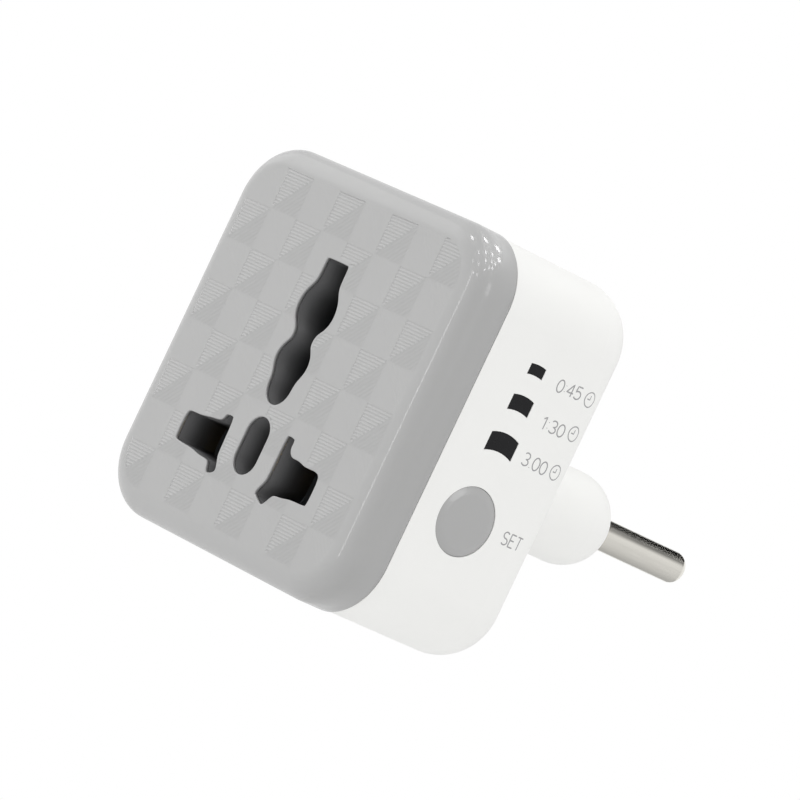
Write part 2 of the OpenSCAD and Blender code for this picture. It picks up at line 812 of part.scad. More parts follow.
module relay_yoke() {
    color("#8e9297") on_power_board() {
        box(relay_inner, relay_inner + yoke_t, relay_mid - yoke_w / 2, relay_mid + yoke_w / 2,
            coil_z - yoke_w / 2, hinge_z);
        box(relay_inner, hinge_x - loose_gap, relay_mid - yoke_w / 2, relay_mid + yoke_w / 2,
            hinge_z - yoke_t, hinge_z);
        translate([0, relay_mid, coil_z]) side_rod(core_r, relay_inner, core_end);
    }
}

module relay_bobbin() {
    x0 = relay_inner + yoke_t + seat_gap;
    x1 = core_end - bobbin_room;
    bore_r = core_r + seat_gap;
    color("#e8e2d0") on_power_board() translate([0, relay_mid, coil_z]) side_turned() {
        translate([bore_r, x0]) square([bobbin_t, x1 - x0]);
        translate([bore_r, x0]) square([flange_r - bore_r, flange_t]);
        translate([bore_r, x1 - flange_t]) square([flange_r - bore_r, flange_t]);
    }
}

module relay_winding() {
    x0 = relay_inner + yoke_t + seat_gap + flange_t;
    x1 = core_end - bobbin_room - flange_t;
    inner_r = core_r + bobbin_t + 2 * seat_gap;
    color("#b4602c") on_power_board() translate([0, relay_mid, coil_z]) side_turned()
        translate([inner_r, x0 + seat_gap]) square([coil_r - inner_r, x1 - x0 - 2 * seat_gap]);
}

module relay_armature() {
    color("#8e9297") on_power_board() {
        box(hinge_x, hinge_x + yoke_t, relay_mid - yoke_w / 2, relay_mid + yoke_w / 2,
            armature_foot, armature_top);
        translate([0, relay_mid, contact_z]) side_rod(rivet_r, hinge_x - rivet_t, hinge_x + yoke_t / 2);
    }
}

module relay_contact() {
    strip_z = armature_foot - fixed_drop;
    strip_x1 = fixed_face - rivet_t;
    d0 = relay_mid - fixed_w / 2;
    color("#c9a24a") on_power_board() {
        box(relay_inner, strip_x1, d0, d0 + fixed_w, strip_z, strip_z + strip_t);
        box(strip_x1 - strip_t, strip_x1, d0, d0 + fixed_w, strip_z, contact_z + fixed_reach);
        translate([0, relay_mid, contact_z]) side_rod(rivet_r, strip_x1 - strip_t / 2, fixed_face);
    }
}

// ---- other parts on the boards ----

module suppression_capacitor() {
    color("#e0b13a") on_power_board()
        box(0, part_room - suppressor_gap, suppressor_front, suppressor_back,
            suppressor_bottom, suppressor_bottom + suppressor_l);
}

module varistor() {
    leg_z = varistor_r / 2;
    color("#2d62a0") on_power_board() {
        translate([varistor_r + loose_gap, 0, varistor_z])
            rod(varistor_r, varistor_front, varistor_back);
        for (dz = [-leg_z, leg_z])
            translate([0, (varistor_front + varistor_back) / 2, varistor_z + dz])
                side_rod(part_leg_r, 0, varistor_r);
    }
}

module fuse_resistor() {
    x = fuse_r + fuse_rise;
    color("#5a7f63") on_power_board() {
        translate([x, lead_depth, fuse_bottom]) cylinder(r = fuse_r, h = fuse_l);
        for (dz = [fuse_leg, fuse_l - fuse_leg])
            translate([0, lead_depth, fuse_bottom + dz]) side_rod(part_leg_r, 0, x);
    }
}

module smoothing_capacitor() {
    h = part_room - smoother_gap;
    color("#2b3550") on_control_board() translate([0, smoother_depth, smoother_z]) side_turned()
        difference() {
            square([smoother_r, h]);
            translate([smoother_r, smoother_groove_x]) circle(r = smoother_groove);
            translate([0, h - smoother_groove]) square([smoother_r - smoother_rim, overlap]);
        }
}

module bridge_rectifier() {
    color("#22252a") on_control_board()
        box(0, rectifier_size[0], rectifier_front, rectifier_front + rectifier_size[1],
            rectifier_bottom, rectifier_bottom + rectifier_size[2]);
}

module microcontroller() {
    leg_z = chip_bottom + chip_leg_in;
    color("#22252a") behind_control_board() {
        box(chip_under, chip_top_x, chip_front, chip_back, chip_bottom, chip_bottom + chip_h);
        for (k = [0 : 3])
            box(0, chip_leg_x, chip_front - chip_leg_l, chip_back + chip_leg_l,
                leg_z + chip_leg_pitch * k, leg_z + chip_leg_pitch * k + chip_leg_w);
    }
}

module chip_resistor(k) {
    color("#2c2f34") behind_control_board()
        box(0, chip_size[0], resistor_front, resistor_front + chip_size[1],
            window_zs[k] - chip_size[2] / 2, window_zs[k] + chip_size[2] / 2);
}

// ---- status windows ----

// Window k as a (d, z) outline grown by g: arched over, hollow under.
module window(k, g) {
    w = window_ws[k] / 2 + g;
    h = window_hs[k] / 2;
    translate([window_depth, window_zs[k]]) intersection() {
        difference() {
            translate([0, h - window_arc_r]) circle(r = window_arc_r + g);
            translate([0, -h - window_arc_r]) circle(r = window_arc_r - g);
        }
        translate([-w, -window_arc_r]) square([2 * w, 2 * window_arc_r]);
    }
}

module strip_outline() {
    translate([window_depth - strip_w / 2, strip_bottom]) square([strip_w, strip_top - strip_bottom]);
}

module status_led(k) {
    color("#f2efe2") behind_control_board()
        box(0, led_size[0], window_depth - led_size[2] / 2, window_depth + led_size[2] / 2,
            window_zs[k] - led_size[1] / 2, window_zs[k] + led_size[1] / 2);
}

module led_baffle() {
    color("#3c3f44") at_case() side_extrude(outer_x, strip_x - seat_gap) difference() {
        strip_outline();
        for (k = [0 : 2]) window(k, baffle_gap);
    }
}

module status_windows() {
    color("#2a2a2c") at_case() {
        side_extrude(strip_x, strip_x + strip_thick) strip_outline();
        for (k = [0 : 2]) side_extrude(strip_x + strip_thick / 2, house_x - seat_gap) window(k, 0);
    }
}

// ---- button and switch ----

module at_button() {
    at_case() translate([0, button_depth, -button_drop]) children();
}

module switch_body() {
    color("#2b2d30") at_button() difference() {
        box(outer_x, outer_x + switch_h, -switch_w / 2, switch_w / 2, -switch_w / 2, switch_w / 2);
        side_rod(plunger_r + button_gap, plunger_bore_floor, plunger_top);
    }
}

module switch_plunger() {
    color("#d8d8d4") at_button() side_rod(plunger_r, plunger_bottom, plunger_top);
}

module set_button() {
    stem_x = plunger_top + seat_gap;
    flange_out = button_flange_x + button_flange_t;
    color("#a9aaaa") at_button() side_turned() polygon([
        [0, stem_x], [button_stem_r, stem_x], [button_stem_r, button_flange_x],
        [button_flange_r, button_flange_x], [button_flange_r, flange_out], [button_r, flange_out],
        [button_r, button_x - button_bevel], [button_r - button_bevel, button_x], [0, button_x]]);
}

// ---- leads ----

// A lead that runs up for a, bends and runs right for b.
module bent_lead(a, b) {
    cylinder(r = lead_r, h = a - lead_bend);
    translate([lead_bend, 0, a - lead_bend]) rotate([90, 0, 0]) rotate([0, 0, 90])
        rotate_extrude(angle = 90) translate([lead_bend, 0]) circle(r = lead_r);
    translate([lead_bend, 0, a]) rotate([0, 90, 0]) cylinder(r = lead_r, h = b - lead_bend);
}

module line_lead() {
    color("#7a4a2a") at_case() translate([-pin_x, tail_end - seat_gap, plug_z]) rotate([90, 180, 0])
        bent_lead(tail_end - seat_gap - lead_depth, part_x - pin_x);
}

module neutral_lead() {
    tab_top = row_z + strip_t / 2 + seat_gap;
    color("#3a62a8") at_case() translate([pin_x, tail_end - seat_gap, plug_z]) rotate([90, 90, 0])
        bent_lead(tail_end - seat_gap - lead_depth, plug_z - tab_top);
}

// From a contact's tab straight to the board beside it.
module tab_lead() {
    translate([0, lead_depth, row_z]) side_rod(lead_r, pin_x + tab_w / 2 + seat_gap, part_x);
}

module switched_lead() {
    color("#7a4a2a") at_case() mirror([1, 0, 0]) tab_lead();
}

module neutral_feed() {
    color("#3a62a8") at_case() tab_lead();
}

module board_ribbon() {
    color("#9aa0a6") at_case() for (k = [-2 : 2])
        translate([0, lead_depth, ribbon_z + ribbon_pitch * k]) side_rod(ribbon_r, -part_x, part_x);
}

front_cover();
socket_insert();
rear_housing();
case_screw(0);  // case_screw_1
case_screw(1);  // case_screw_2
case_screw(2);  // case_screw_3
case_screw(3);  // case_screw_4
contact_carrier();
carrier_lid();
carrier_screw(0);  // carrier_screw_1
carrier_screw(1);  // carrier_screw_2
carrier_screw(2);  // carrier_screw_3
lid_screw(-1);  // lid_screw_1
lid_screw(1);  // lid_screw_2
side_contact(-1);  // line_contact
side_contact(1);  // neutral_contact
plug_pin(-1);  // line_pin
plug_pin(1);  // neutral_pin
pin_retainer();
retainer_screw();
board(-1);  // power_board
board_screw(-1, 0);  // power_board_screw_1
board_screw(-1, 1);  // power_board_screw_2
relay_base();
relay_cover();
relay_bobbin();
relay_winding();
relay_yoke();
relay_armature();
relay_contact();
suppression_capacitor();
varistor();
fuse_resistor();
board(1);  // control_board
board_screw(1, 0);  // control_board_screw_1
board_screw(1, 1);  // control_board_screw_2
smoothing_capacitor();
bridge_rectifier();
microcontroller();
chip_resistor(0);  // chip_resistor_1
chip_resistor(1);  // chip_resistor_2
chip_resistor(2);  // chip_resistor_3
status_led(0);  // status_led_1
status_led(1);  // status_led_2
status_led(2);  // status_led_3
led_baffle();
status_windows();
switch_body();
switch_plunger();
set_button();
line_lead();
switched_lead();
neutral_lead();
neutral_feed();
board_ribbon();
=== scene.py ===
import math
import bmesh
import bpy
import numpy as np
from mathutils import Matrix, Vector
from mathutils.geometry import delaunay_2d_cdt

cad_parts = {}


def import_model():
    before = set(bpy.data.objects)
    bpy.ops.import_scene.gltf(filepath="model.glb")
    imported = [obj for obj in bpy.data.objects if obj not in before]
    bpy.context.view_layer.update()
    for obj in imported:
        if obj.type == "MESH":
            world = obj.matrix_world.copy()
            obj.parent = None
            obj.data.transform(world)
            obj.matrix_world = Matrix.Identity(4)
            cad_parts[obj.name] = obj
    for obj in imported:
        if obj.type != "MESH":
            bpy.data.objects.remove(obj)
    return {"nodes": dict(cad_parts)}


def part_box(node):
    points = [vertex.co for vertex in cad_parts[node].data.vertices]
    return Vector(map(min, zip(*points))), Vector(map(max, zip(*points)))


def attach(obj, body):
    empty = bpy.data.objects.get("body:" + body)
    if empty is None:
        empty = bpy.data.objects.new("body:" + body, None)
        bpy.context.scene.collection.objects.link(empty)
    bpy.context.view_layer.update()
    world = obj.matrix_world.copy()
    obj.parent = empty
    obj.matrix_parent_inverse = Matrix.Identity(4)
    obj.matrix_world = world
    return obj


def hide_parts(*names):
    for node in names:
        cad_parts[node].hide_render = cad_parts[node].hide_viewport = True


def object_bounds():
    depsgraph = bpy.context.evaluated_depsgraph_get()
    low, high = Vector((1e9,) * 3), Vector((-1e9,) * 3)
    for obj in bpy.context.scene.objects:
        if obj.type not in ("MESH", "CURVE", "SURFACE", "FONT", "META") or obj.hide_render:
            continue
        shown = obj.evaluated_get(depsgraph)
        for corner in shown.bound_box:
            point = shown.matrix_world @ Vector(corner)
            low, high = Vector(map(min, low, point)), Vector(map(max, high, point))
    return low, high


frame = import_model()
cad_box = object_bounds()

# ---- the case's own frame: x right, d back from the front face, z up from the middle, in mm ----

MM = 0.001
cover_low, cover_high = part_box("front_cover")
CASE_HALF = (cover_high.x - cover_low.x) / 2 / MM
HOUSING_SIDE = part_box("rear_housing")[1].x / MM
ORIGIN = Vector((0, cover_low.y, (cover_low.z + cover_high.z) / 2))


def case_point(x, d, z):
    return ORIGIN + Vector((x, d, z)) * MM


# ---- sizes, mm ----

CORNER_R = 8.4
FRONT_R = 3.2
COVER_DEPTH = 6.95
COVER_WALL = 2
LIP_DEPTH = 0.5
EDGE_R = 0.15
SEAT_GAP = 0.05
CORNER_STEPS = 20
FILLET_TURNS = [0, 0.5, 3, 7, 12, 18, 25, 32, 40, 48, 56, 64, 72, 79, 85, 89.5, 90]
RIM_TURNS = [0, 30, 60, 90]
# Where an outline that grows turns sharply, its corner moves out by this much more at most.
CORNER_STRETCH = 1.4
LEAST_COSINE = 0.1

# The socket's insert fills a stepped block behind the face.
INSERT_ROW_X = 16.05
INSERT_ROW_LOW = -18.55
INSERT_ROW_HIGH = -6.05
INSERT_HEAD_X = 5.1
INSERT_HEAD_HIGH = 15.7

CASE_POST_R = 2.8
CASE_POST_END = 14
CASE_POST_BORE_R = 1.3
CASE_POSTS = [(-18.9, -18.9), (18.9, -18.9), (-18.9, 18.9), (18.9, 18.9)]
CARRIER_POST_R = 1.8
CARRIER_POST_BORE_R = 0.8
CARRIER_POSTS = [(-10.5, -20.4), (10.5, -20.4), (0, 18.2)]

# Face pattern: a square grid in which every second cell is split along its diagonal.
CELLS = 8
CELL = 5.72
RIDGES = 13
RIDGE_DEPTH = 0.1
SLANT_RIDGES = 7
SLANT_DEPTH = 0.02
PLAIN_DEPTH = 0.01
RIDGE_END = 0.15
RIDGE_CLEAR = 0.4
EDGE_CLEAR = 0.05
LINE_STEP = 0.06

# Openings, as the corners that their outlines are rounded from.
LONG_SLOT_HALF = [
    (14.42, 2.0), (14.3, 2.25), (13.8, 2.34), (12.6, 2.34), (11.7, 2.4), (11.1, 2.53), (10.5, 2.86),
    (9.9, 3.26), (9.2, 3.6), (8.5, 3.79), (7.75, 3.86), (7.0, 3.8), (6.3, 3.55), (5.7, 3.18), (5.1, 2.6),
    (4.5, 2.24), (3.8, 2.12), (3.2, 2.2), (2.65, 2.56), (2.1, 2.97), (1.4, 3.28), (0.6, 3.41), (-0.2, 3.3),
    (-0.9, 3.02), (-1.6, 2.68), (-2.4, 2.49), (-3.2, 2.42), (-3.9, 2.26), (-4.6, 1.86), (-5.15, 1.25),
    (-5.48, 0.55)]
MIDDLE_SLOT_R = 2.32
MIDDLE_SLOT_TOP = -7.36
MIDDLE_SLOT_FOOT = -15.27
RIGHT_SLOT = [
    (6.35, -17.35), (4.8, -16.58), (4.6, -16.35), (4.78, -15.75), (5.36, -14.85), (5.62, -13.85),
    (5.62, -8.25), (6.1, -8.1), (7.22, -8.2), (7.36, -8.5), (7.35, -9.41), (7.58, -9.9), (8.05, -10.32),
    (8.6, -10.45), (9.6, -10.43), (10.45, -10.56), (11.35, -10.78), (14.25, -10.66), (14.84, -11.6),
    (14.79, -14.95), (14.4, -15.16), (11.4, -15.23), (9.7, -15.57), (8.4, -15.64), (7.91, -15.9),
    (7.05, -17.15), (6.75, -17.32)]
LEFT_SLOT = [
    (-5.9, -16.91), (-6.1, -16.83), (-6.43, -16.45), (-6.75, -15.56), (-7.25, -15.39), (-9.2, -15.31),
    (-10.7, -14.98), (-14.55, -14.85), (-14.79, -14.35), (-14.84, -12.9), (-14.71, -11.0),
    (-14.15, -10.72), (-11.9, -10.7), (-10.05, -10.38), (-8.05, -10.19), (-7.51, -9.85), (-7.28, -9.25),
    (-7.0, -9.11), (-6.1, -9.04), (-5.56, -9.2), (-5.41, -13.8), (-5.29, -14.5), (-4.65, -15.8),
    (-4.57, -16.2), (-4.74, -16.45), (-5.27, -16.75)]


# ---- outlines: lists of (x, z) points ----

def arc(x, z, rx, rz, start, end, steps):
    """Points on an ellipse between two angles in degrees."""
    turns = [math.radians(start + (end - start) * k / steps) for k in range(steps + 1)]
    return [(x + rx * math.cos(t), z + rz * math.sin(t)) for t in turns]


def circle(x, z, r, steps=40):
    return arc(x, z, r, r, 0, 360, steps)[:-1]


def rounded_square(half, r):
    reach = half - r
    corners = [(reach, reach, 0), (-reach, reach, 90), (-reach, -reach, 180), (reach, -reach, 270)]
    outline = []
    for x, z, start in corners:
        outline += arc(x, z, r, r, start, start + 90, CORNER_STEPS)
    return outline


def corners_cut(outline, passes=2):
    """Rounds a closed outline by cutting its corners a quarter of the way along."""
    for _ in range(passes):
        cut = []
        for a, b in zip(outline, outline[1:] + outline[:1]):
            cut.append((0.75 * a[0] + 0.25 * b[0], 0.75 * a[1] + 0.25 * b[1]))
            cut.append((0.25 * a[0] + 0.75 * b[0], 0.25 * a[1] + 0.75 * b[1]))
        outline = cut
    return outline


def middle_slot():
    top = MIDDLE_SLOT_TOP - MIDDLE_SLOT_R
    foot = MIDDLE_SLOT_FOOT + MIDDLE_SLOT_R
    return (arc(0, top, MIDDLE_SLOT_R, MIDDLE_SLOT_R, 0, 180, CORNER_STEPS)
            + arc(0, foot, MIDDLE_SLOT_R, MIDDLE_SLOT_R, 180, 360, CORNER_STEPS))


def long_slot():
    right = [(half, z) for z, half in LONG_SLOT_HALF]
    left = [(-half, z) for z, half in reversed(LONG_SLOT_HALF)]
    return corners_cut(right + left)


def grown(outline, reach):
    """The outline moved outwards along the mean of its neighbouring sides' directions."""
    points = np.array(outline)
    sides = np.roll(points, -1, axis=0) - points
    x, z = points[:, 0], points[:, 1]
    area = np.sum(x * np.roll(z, -1) - np.roll(x, -1) * z)
    lengths = np.linalg.norm(sides, axis=1, keepdims=True)
    normals = np.stack([sides[:, 1], -sides[:, 0]], axis=1) / lengths * np.sign(area)
    mean = normals + np.roll(normals, 1, axis=0)
    mean /= np.linalg.norm(mean, axis=1, keepdims=True)
    cosine = np.maximum(np.sum(mean * normals, axis=1), LEAST_COSINE)
    stretch = np.minimum(1 / cosine, CORNER_STRETCH)
    return [tuple(p) for p in points + mean * stretch[:, None] * reach]


def insert_outline(gap):
    head, row = INSERT_HEAD_X + gap, INSERT_ROW_X + gap
    low, high, top = INSERT_ROW_LOW - gap, INSERT_ROW_HIGH + gap, INSERT_HEAD_HIGH + gap
    return [(row, low), (row, high), (head, high), (head, top),
            (-head, top), (-head, high), (-row, high), (-row, low)]


OPENINGS = [long_slot(), middle_slot(), corners_cut(RIGHT_SLOT), corners_cut(LEFT_SLOT)]


def within(points, outline):
    """Which points lie inside an outline, by counting the sides to their right."""
    x, z = points[:, 0, None], points[:, 1, None]
    a = np.array(outline)
    b = np.roll(a, -1, axis=0)
    spans = (a[:, 1] > z) != (b[:, 1] > z)
    rise = np.where(b[:, 1] == a[:, 1], 1, b[:, 1] - a[:, 1])
    crossing = a[:, 0] + (z - a[:, 1]) * (b[:, 0] - a[:, 0]) / rise
    return np.sum(spans & (x < crossing), axis=1) % 2 == 1


def distance(points, outline):
    a = np.array(outline)
    side = np.roll(a, -1, axis=0) - a
    reach = points[:, None, :] - a[None]
    share = np.clip(np.sum(reach * side, axis=2) / np.sum(side * side, axis=1), 0, 1)
    return np.min(np.linalg.norm(reach - share[:, :, None] * side, axis=2), axis=1)


# ---- meshes ----

# Points of a flat sheet that are this close, in mm, become one.
CDT_REACH = 1e-6


class Shell:
    """Collects the points and faces of one mesh, in mm of the case's frame.

    Faces whose number is in second take the mesh's second material.
    """

    def __init__(self):
        self.points = []
        self.faces = []
        self.smooth = []
        self.second = set()

    def loop(self, points):
        start = len(self.points)
        self.points += points
        return list(range(start, len(self.points)))

    def ring(self, outline, d):
        return self.loop([(x, d, z) for x, z in outline])

    def wall(self, a, b, smooth=True):
        for k in range(len(a)):
            after = (k + 1) % len(a)
            self.faces.append((a[k], a[after], b[after], b[k]))
            self.smooth.append(smooth)

    def walls(self, rings):
        for a, b in zip(rings, rings[1:]):
            self.wall(a, b)

    def outline(self, loop):
        return [(self.points[i][0], self.points[i][2]) for i in loop]

    def sheet_input(self, loops, lines):
        """Point numbers, flat places and edges of closed loops and open lines."""
        ids = []
        flat = []
        edges = []
        for loop in loops:
            start = len(flat)
            ids += loop
            flat += [Vector(place) for place in self.outline(loop)]
            edges += [(start + k, start + (k + 1) % len(loop)) for k in range(len(loop))]
        for line in lines:
            start = len(flat)
            ids += self.loop(line)
            flat += [Vector((x, z)) for x, _, z in line]
            edges += [(start + k, start + k + 1) for k in range(len(line) - 1)]
        return ids, flat, edges

    def kept(self, middles, outer, holes):
        """Which places lie inside the outer ring and outside the holes."""
        inside = within(middles, self.outline(outer))
        for hole in holes:
            inside &= ~within(middles, self.outline(hole))
        return inside

    def sheet(self, outer, holes, lines=(), is_second=None):
        """Fills between an outer ring and holes, through open lines of (x, d, z) points."""
        ids, flat, edges = self.sheet_input([outer] + holes, lines)
        verts, _, triangles, sources, _, _ = delaunay_2d_cdt(flat, edges, [], 0, CDT_REACH)
        rest_d = self.points[outer[0]][1]
        mapped = []
        for vert, source in zip(verts, sources):
            mapped.append(ids[source[0]] if source else self.loop([(vert.x, rest_d, vert.y)])[0])
        middles = np.array([sum((verts[i] for i in t), Vector((0, 0))) / 3 for t in triangles])
        second = is_second(middles) if is_second else np.zeros(len(middles), bool)
        for triangle, keep, other in zip(triangles, self.kept(middles, outer, holes), second):
            if keep:
                if other:
                    self.second.add(len(self.faces))
                self.faces.append(tuple(mapped[i] for i in triangle))
                self.smooth.append(False)

    def piece(self, name, *materials):
        mesh = bpy.data.meshes.new(name)
        bm = bmesh.new()
        verts = [bm.verts.new(case_point(*p)) for p in self.points]
        for k, corners in enumerate(self.faces):
            face = bm.faces.new([verts[i] for i in corners])
            face.smooth = self.smooth[k]
            face.material_index = int(k in self.second)
        bmesh.ops.delete(bm, geom=[v for v in bm.verts if not v.link_faces], context="VERTS")
        bmesh.ops.recalc_face_normals(bm, faces=bm.faces)
        bm.to_mesh(mesh)
        bm.free()
        for material in materials:
            mesh.materials.append(material)
        piece = bpy.data.objects.new(name, mesh)
        bpy.context.scene.collection.objects.link(piece)
        return piece


# ---- face pattern ----

def face_allows(points, clear):
    """Which points of the face are clear of the openings, and a quarter as far of its edge."""
    edge = rounded_square(CASE_HALF - FRONT_R, CORNER_R - FRONT_R)
    allowed = within(points, edge) & (distance(points, edge) > clear / 4)
    for outline in OPENINGS:
        allowed &= ~within(points, outline) & (distance(points, outline) > clear)
    return allowed


def clipped(start, end, clear=RIDGE_CLEAR):
    """The stretches of a straight line that the face allows."""
    start, end = np.array(start), np.array(end)
    length = np.linalg.norm(end - start)
    steps = max(int(length / LINE_STEP), 2)
    points = start + (end - start) * np.linspace(0, 1, steps + 1)[:, None]
    allowed = face_allows(points, clear)
    stretches = []
    first = None
    for k in range(steps + 2):
        if k <= steps and allowed[k]:
            first = k if first is None else first
        elif first is not None:
            if k - 1 > first:
                stretches.append((points[first], points[k - 1]))
            first = None
    return stretches


def groove(start, end, depth):
    """The face's lines for one valley, which rises to the face at its ends."""
    lines = []
    for a, b in clipped(start, end):
        length = np.linalg.norm(b - a)
        if length < 3 * RIDGE_END:
            continue
        inset = (b - a) / length * RIDGE_END
        inner = [a + inset, b - inset]
        lines.append([(a[0], 0, a[1]), (inner[0][0], depth, inner[0][1]),
                      (inner[1][0], depth, inner[1][1]), (b[0], 0, b[1])])
    return lines


def crest(start, end, clear=RIDGE_CLEAR):
    return [[(a[0], 0, a[1]), (b[0], 0, b[1])] for a, b in clipped(start, end, clear)]


def patterned_cell(x, z):
    """The ridges of one split cell whose lower left corner is given."""
    right, top = x + CELL, z + CELL
    lines = crest((x, z), (right, top), EDGE_CLEAR)
    lines += crest((x, z), (right, z), EDGE_CLEAR) + crest((right, z), (right, top), EDGE_CLEAR)
    pitch = CELL / RIDGES
    for k in range(1, RIDGES + 1):
        rise = k * pitch
        lines += crest((x, z + rise), (x + rise, z + rise))
        if k > 1:
            middle = rise - pitch / 2
            lines += groove((x, z + middle), (x + middle, z + middle), RIDGE_DEPTH)
    pitch = CELL / SLANT_RIDGES
    for k in range(SLANT_RIDGES):
        step = k * pitch
        if k > 0:
            lines += crest((x + step, z), (right, top - step))
        if k < SLANT_RIDGES - 1:
            step += pitch / 2
            lines += groove((x + step, z), (right, top - step), SLANT_DEPTH)
    return lines


def plain_cell(x, z):
    """Faint ridges across the upper right half of a cell that isn't split."""
    lines = []
    right, top = x + CELL, z + CELL
    pitch = CELL / SLANT_RIDGES
    for k in range(SLANT_RIDGES - 1):
        step = k * pitch
        lines += crest((x + step, top), (right, z + step))
        step += pitch / 2
        lines += groove((x + step, top), (right, z + step), PLAIN_DEPTH)
    return lines


def in_slant_half(points):
    """Which points of the face lie in the lower right half of a split cell."""
    across, up = points[:, 0] / CELL + CELLS / 2, points[:, 1] / CELL + CELLS / 2
    inside = (across > 0) & (across < CELLS) & (up > 0) & (up < CELLS)
    split = (np.floor(across) + np.floor(up)) % 2 == 0
    return inside & split & (across % 1 > up % 1)


def face_pattern():
    lines = []
    for row in range(CELLS):
        for column in range(CELLS):
            cell = patterned_cell if (row + column) % 2 == 1 else plain_cell
            lines += cell((column - CELLS / 2) * CELL, (CELLS / 2 - 1 - row) * CELL)
    return lines


# ---- case pieces ----

def tube_post(shell, x, z, r, bore_r, end):
    start = COVER_WALL - EDGE_R
    outer = [shell.ring(circle(x, z, r), d) for d in (start, end)]
    inner = [shell.ring(circle(x, z, bore_r), d) for d in (start, end)]
    shell.wall(*outer)
    shell.wall(*inner)
    for k in (0, 1):
        shell.wall(outer[k], inner[k], smooth=False)


def cover_skin(shell):
    """Rings from the face's edge round the rim, along the side and back along the inside."""
    rings = []
    for turn in FILLET_TURNS:
        t = math.radians(turn)
        out = FRONT_R * math.sin(t)
        outline = rounded_square(CASE_HALF - FRONT_R + out, CORNER_R - FRONT_R + out)
        rings.append(shell.ring(outline, FRONT_R * (1 - math.cos(t))))
    rings.append(shell.ring(rounded_square(CASE_HALF, CORNER_R), COVER_DEPTH - EDGE_R))
    rings.append(shell.ring(rounded_square(CASE_HALF - EDGE_R, CORNER_R - EDGE_R), COVER_DEPTH))
    inner = rounded_square(CASE_HALF - COVER_WALL, CORNER_R - COVER_WALL)
    rings.append(shell.ring(inner, COVER_DEPTH))
    rings.append(shell.ring(inner, COVER_WALL))
    shell.walls(rings)
    return rings


def opening_rim(shell, outline):
    """The rounded edge and the lip of one opening: its first and its last ring."""
    rim = []
    for turn in RIM_TURNS:
        t = math.radians(turn)
        rim.append(shell.ring(grown(outline, EDGE_R * (1 - math.sin(t))), EDGE_R * (1 - math.cos(t))))
    rim.append(shell.ring(outline, LIP_DEPTH))
    shell.walls(rim)
    return rim[0], rim[-1]


def front_cover(material, etched):
    shell = Shell()
    rings = cover_skin(shell)
    front_holes, back_holes = zip(*[opening_rim(shell, outline) for outline in OPENINGS])
    pocket = [shell.ring(insert_outline(SEAT_GAP), d) for d in (LIP_DEPTH, COVER_WALL)]
    shell.wall(*pocket, smooth=False)
    # The lower right halves of the split cells take the second material, whose darker colour is painted
    # shade.
    shell.sheet(rings[0], list(front_holes), face_pattern(), in_slant_half)
    shell.sheet(pocket[0], list(back_holes))
    shell.sheet(rings[-1], [pocket[1]])
    for x, z in CASE_POSTS:
        tube_post(shell, x, z, CASE_POST_R, CASE_POST_BORE_R, CASE_POST_END)
    for x, z in CARRIER_POSTS:
        tube_post(shell, x, z, CARRIER_POST_R, CARRIER_POST_BORE_R, COVER_DEPTH)
    cover = shell.piece("cover_shell", material, etched)
    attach(cover, "case")
    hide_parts("front_cover")


def socket_insert(material):
    shell = Shell()
    front, back = LIP_DEPTH + SEAT_GAP, COVER_DEPTH
    block = [shell.ring(insert_outline(0), d) for d in (front, back)]
    shell.wall(*block, smooth=False)
    holes = [[shell.ring(outline, d) for outline in OPENINGS] for d in (front, back)]
    for a, b in zip(*holes):
        shell.wall(a, b)
    shell.sheet(block[0], holes[0])
    shell.sheet(block[1], holes[1])
    # Its walls line the openings; their dark colour is partly painted shade.
    insert = shell.piece("opening_liner_and_shade", material)
    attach(insert, "case")
    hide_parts("socket_insert")


# ---- set button: (x, radius) about an axis along x ----

BUTTON_R = 4.6
BUTTON_STEM_R = 1.4
BUTTON_FLANGE_T = 0.8
BUTTON_NECK = 2.15
BUTTON_STEPS = 96
# How far the crown has dropped and how far it is inside the button's edge, from the edge inwards.
CROWN = [(0.3, 0), (0.27, 0.06), (0.04, 0.84), (0.01, 0.98), (0, 1.15)]


def set_button(material):
    low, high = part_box("set_button")
    stem_x = low.x / MM
    middle = (low + high) / 2 - ORIGIN
    flange_r = (high.y - low.y) / 2 / MM
    flange_x = HOUSING_SIDE - BUTTON_NECK - BUTTON_FLANGE_T
    flange_out = flange_x + BUTTON_FLANGE_T
    sharp = [(stem_x, BUTTON_STEM_R), (flange_x, BUTTON_STEM_R), (flange_x, flange_r),
             (flange_out, flange_r), (flange_out, BUTTON_R)]
    crown = [(CASE_HALF - drop, BUTTON_R - inside) for drop, inside in CROWN]
    shell = Shell()
    rings = []
    for x, r in sharp + crown:
        turn = circle(0, 0, r, BUTTON_STEPS)
        rings.append(shell.loop([(x, middle.y / MM + u, middle.z / MM + v) for u, v in turn]))
    for k, (a, b) in enumerate(zip(rings, rings[1:])):
        shell.wall(a, b, smooth=k >= len(sharp))
    for cap in (rings[0], rings[-1]):
        shell.faces.append(tuple(cap))
        shell.smooth.append(cap is rings[-1])
    button = shell.piece("crowned_button", material)
    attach(button, "button")
    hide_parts("set_button")


# ---- printed times on the housing's side ----

PRINT_W = 0.18
CLOCK_PRINT_W = 0.16
PRINT_PROUD = 0.006
PRINT_STEP = 0.2
GLYPH_W = 0.55
GLYPH_SPACE = 0.13
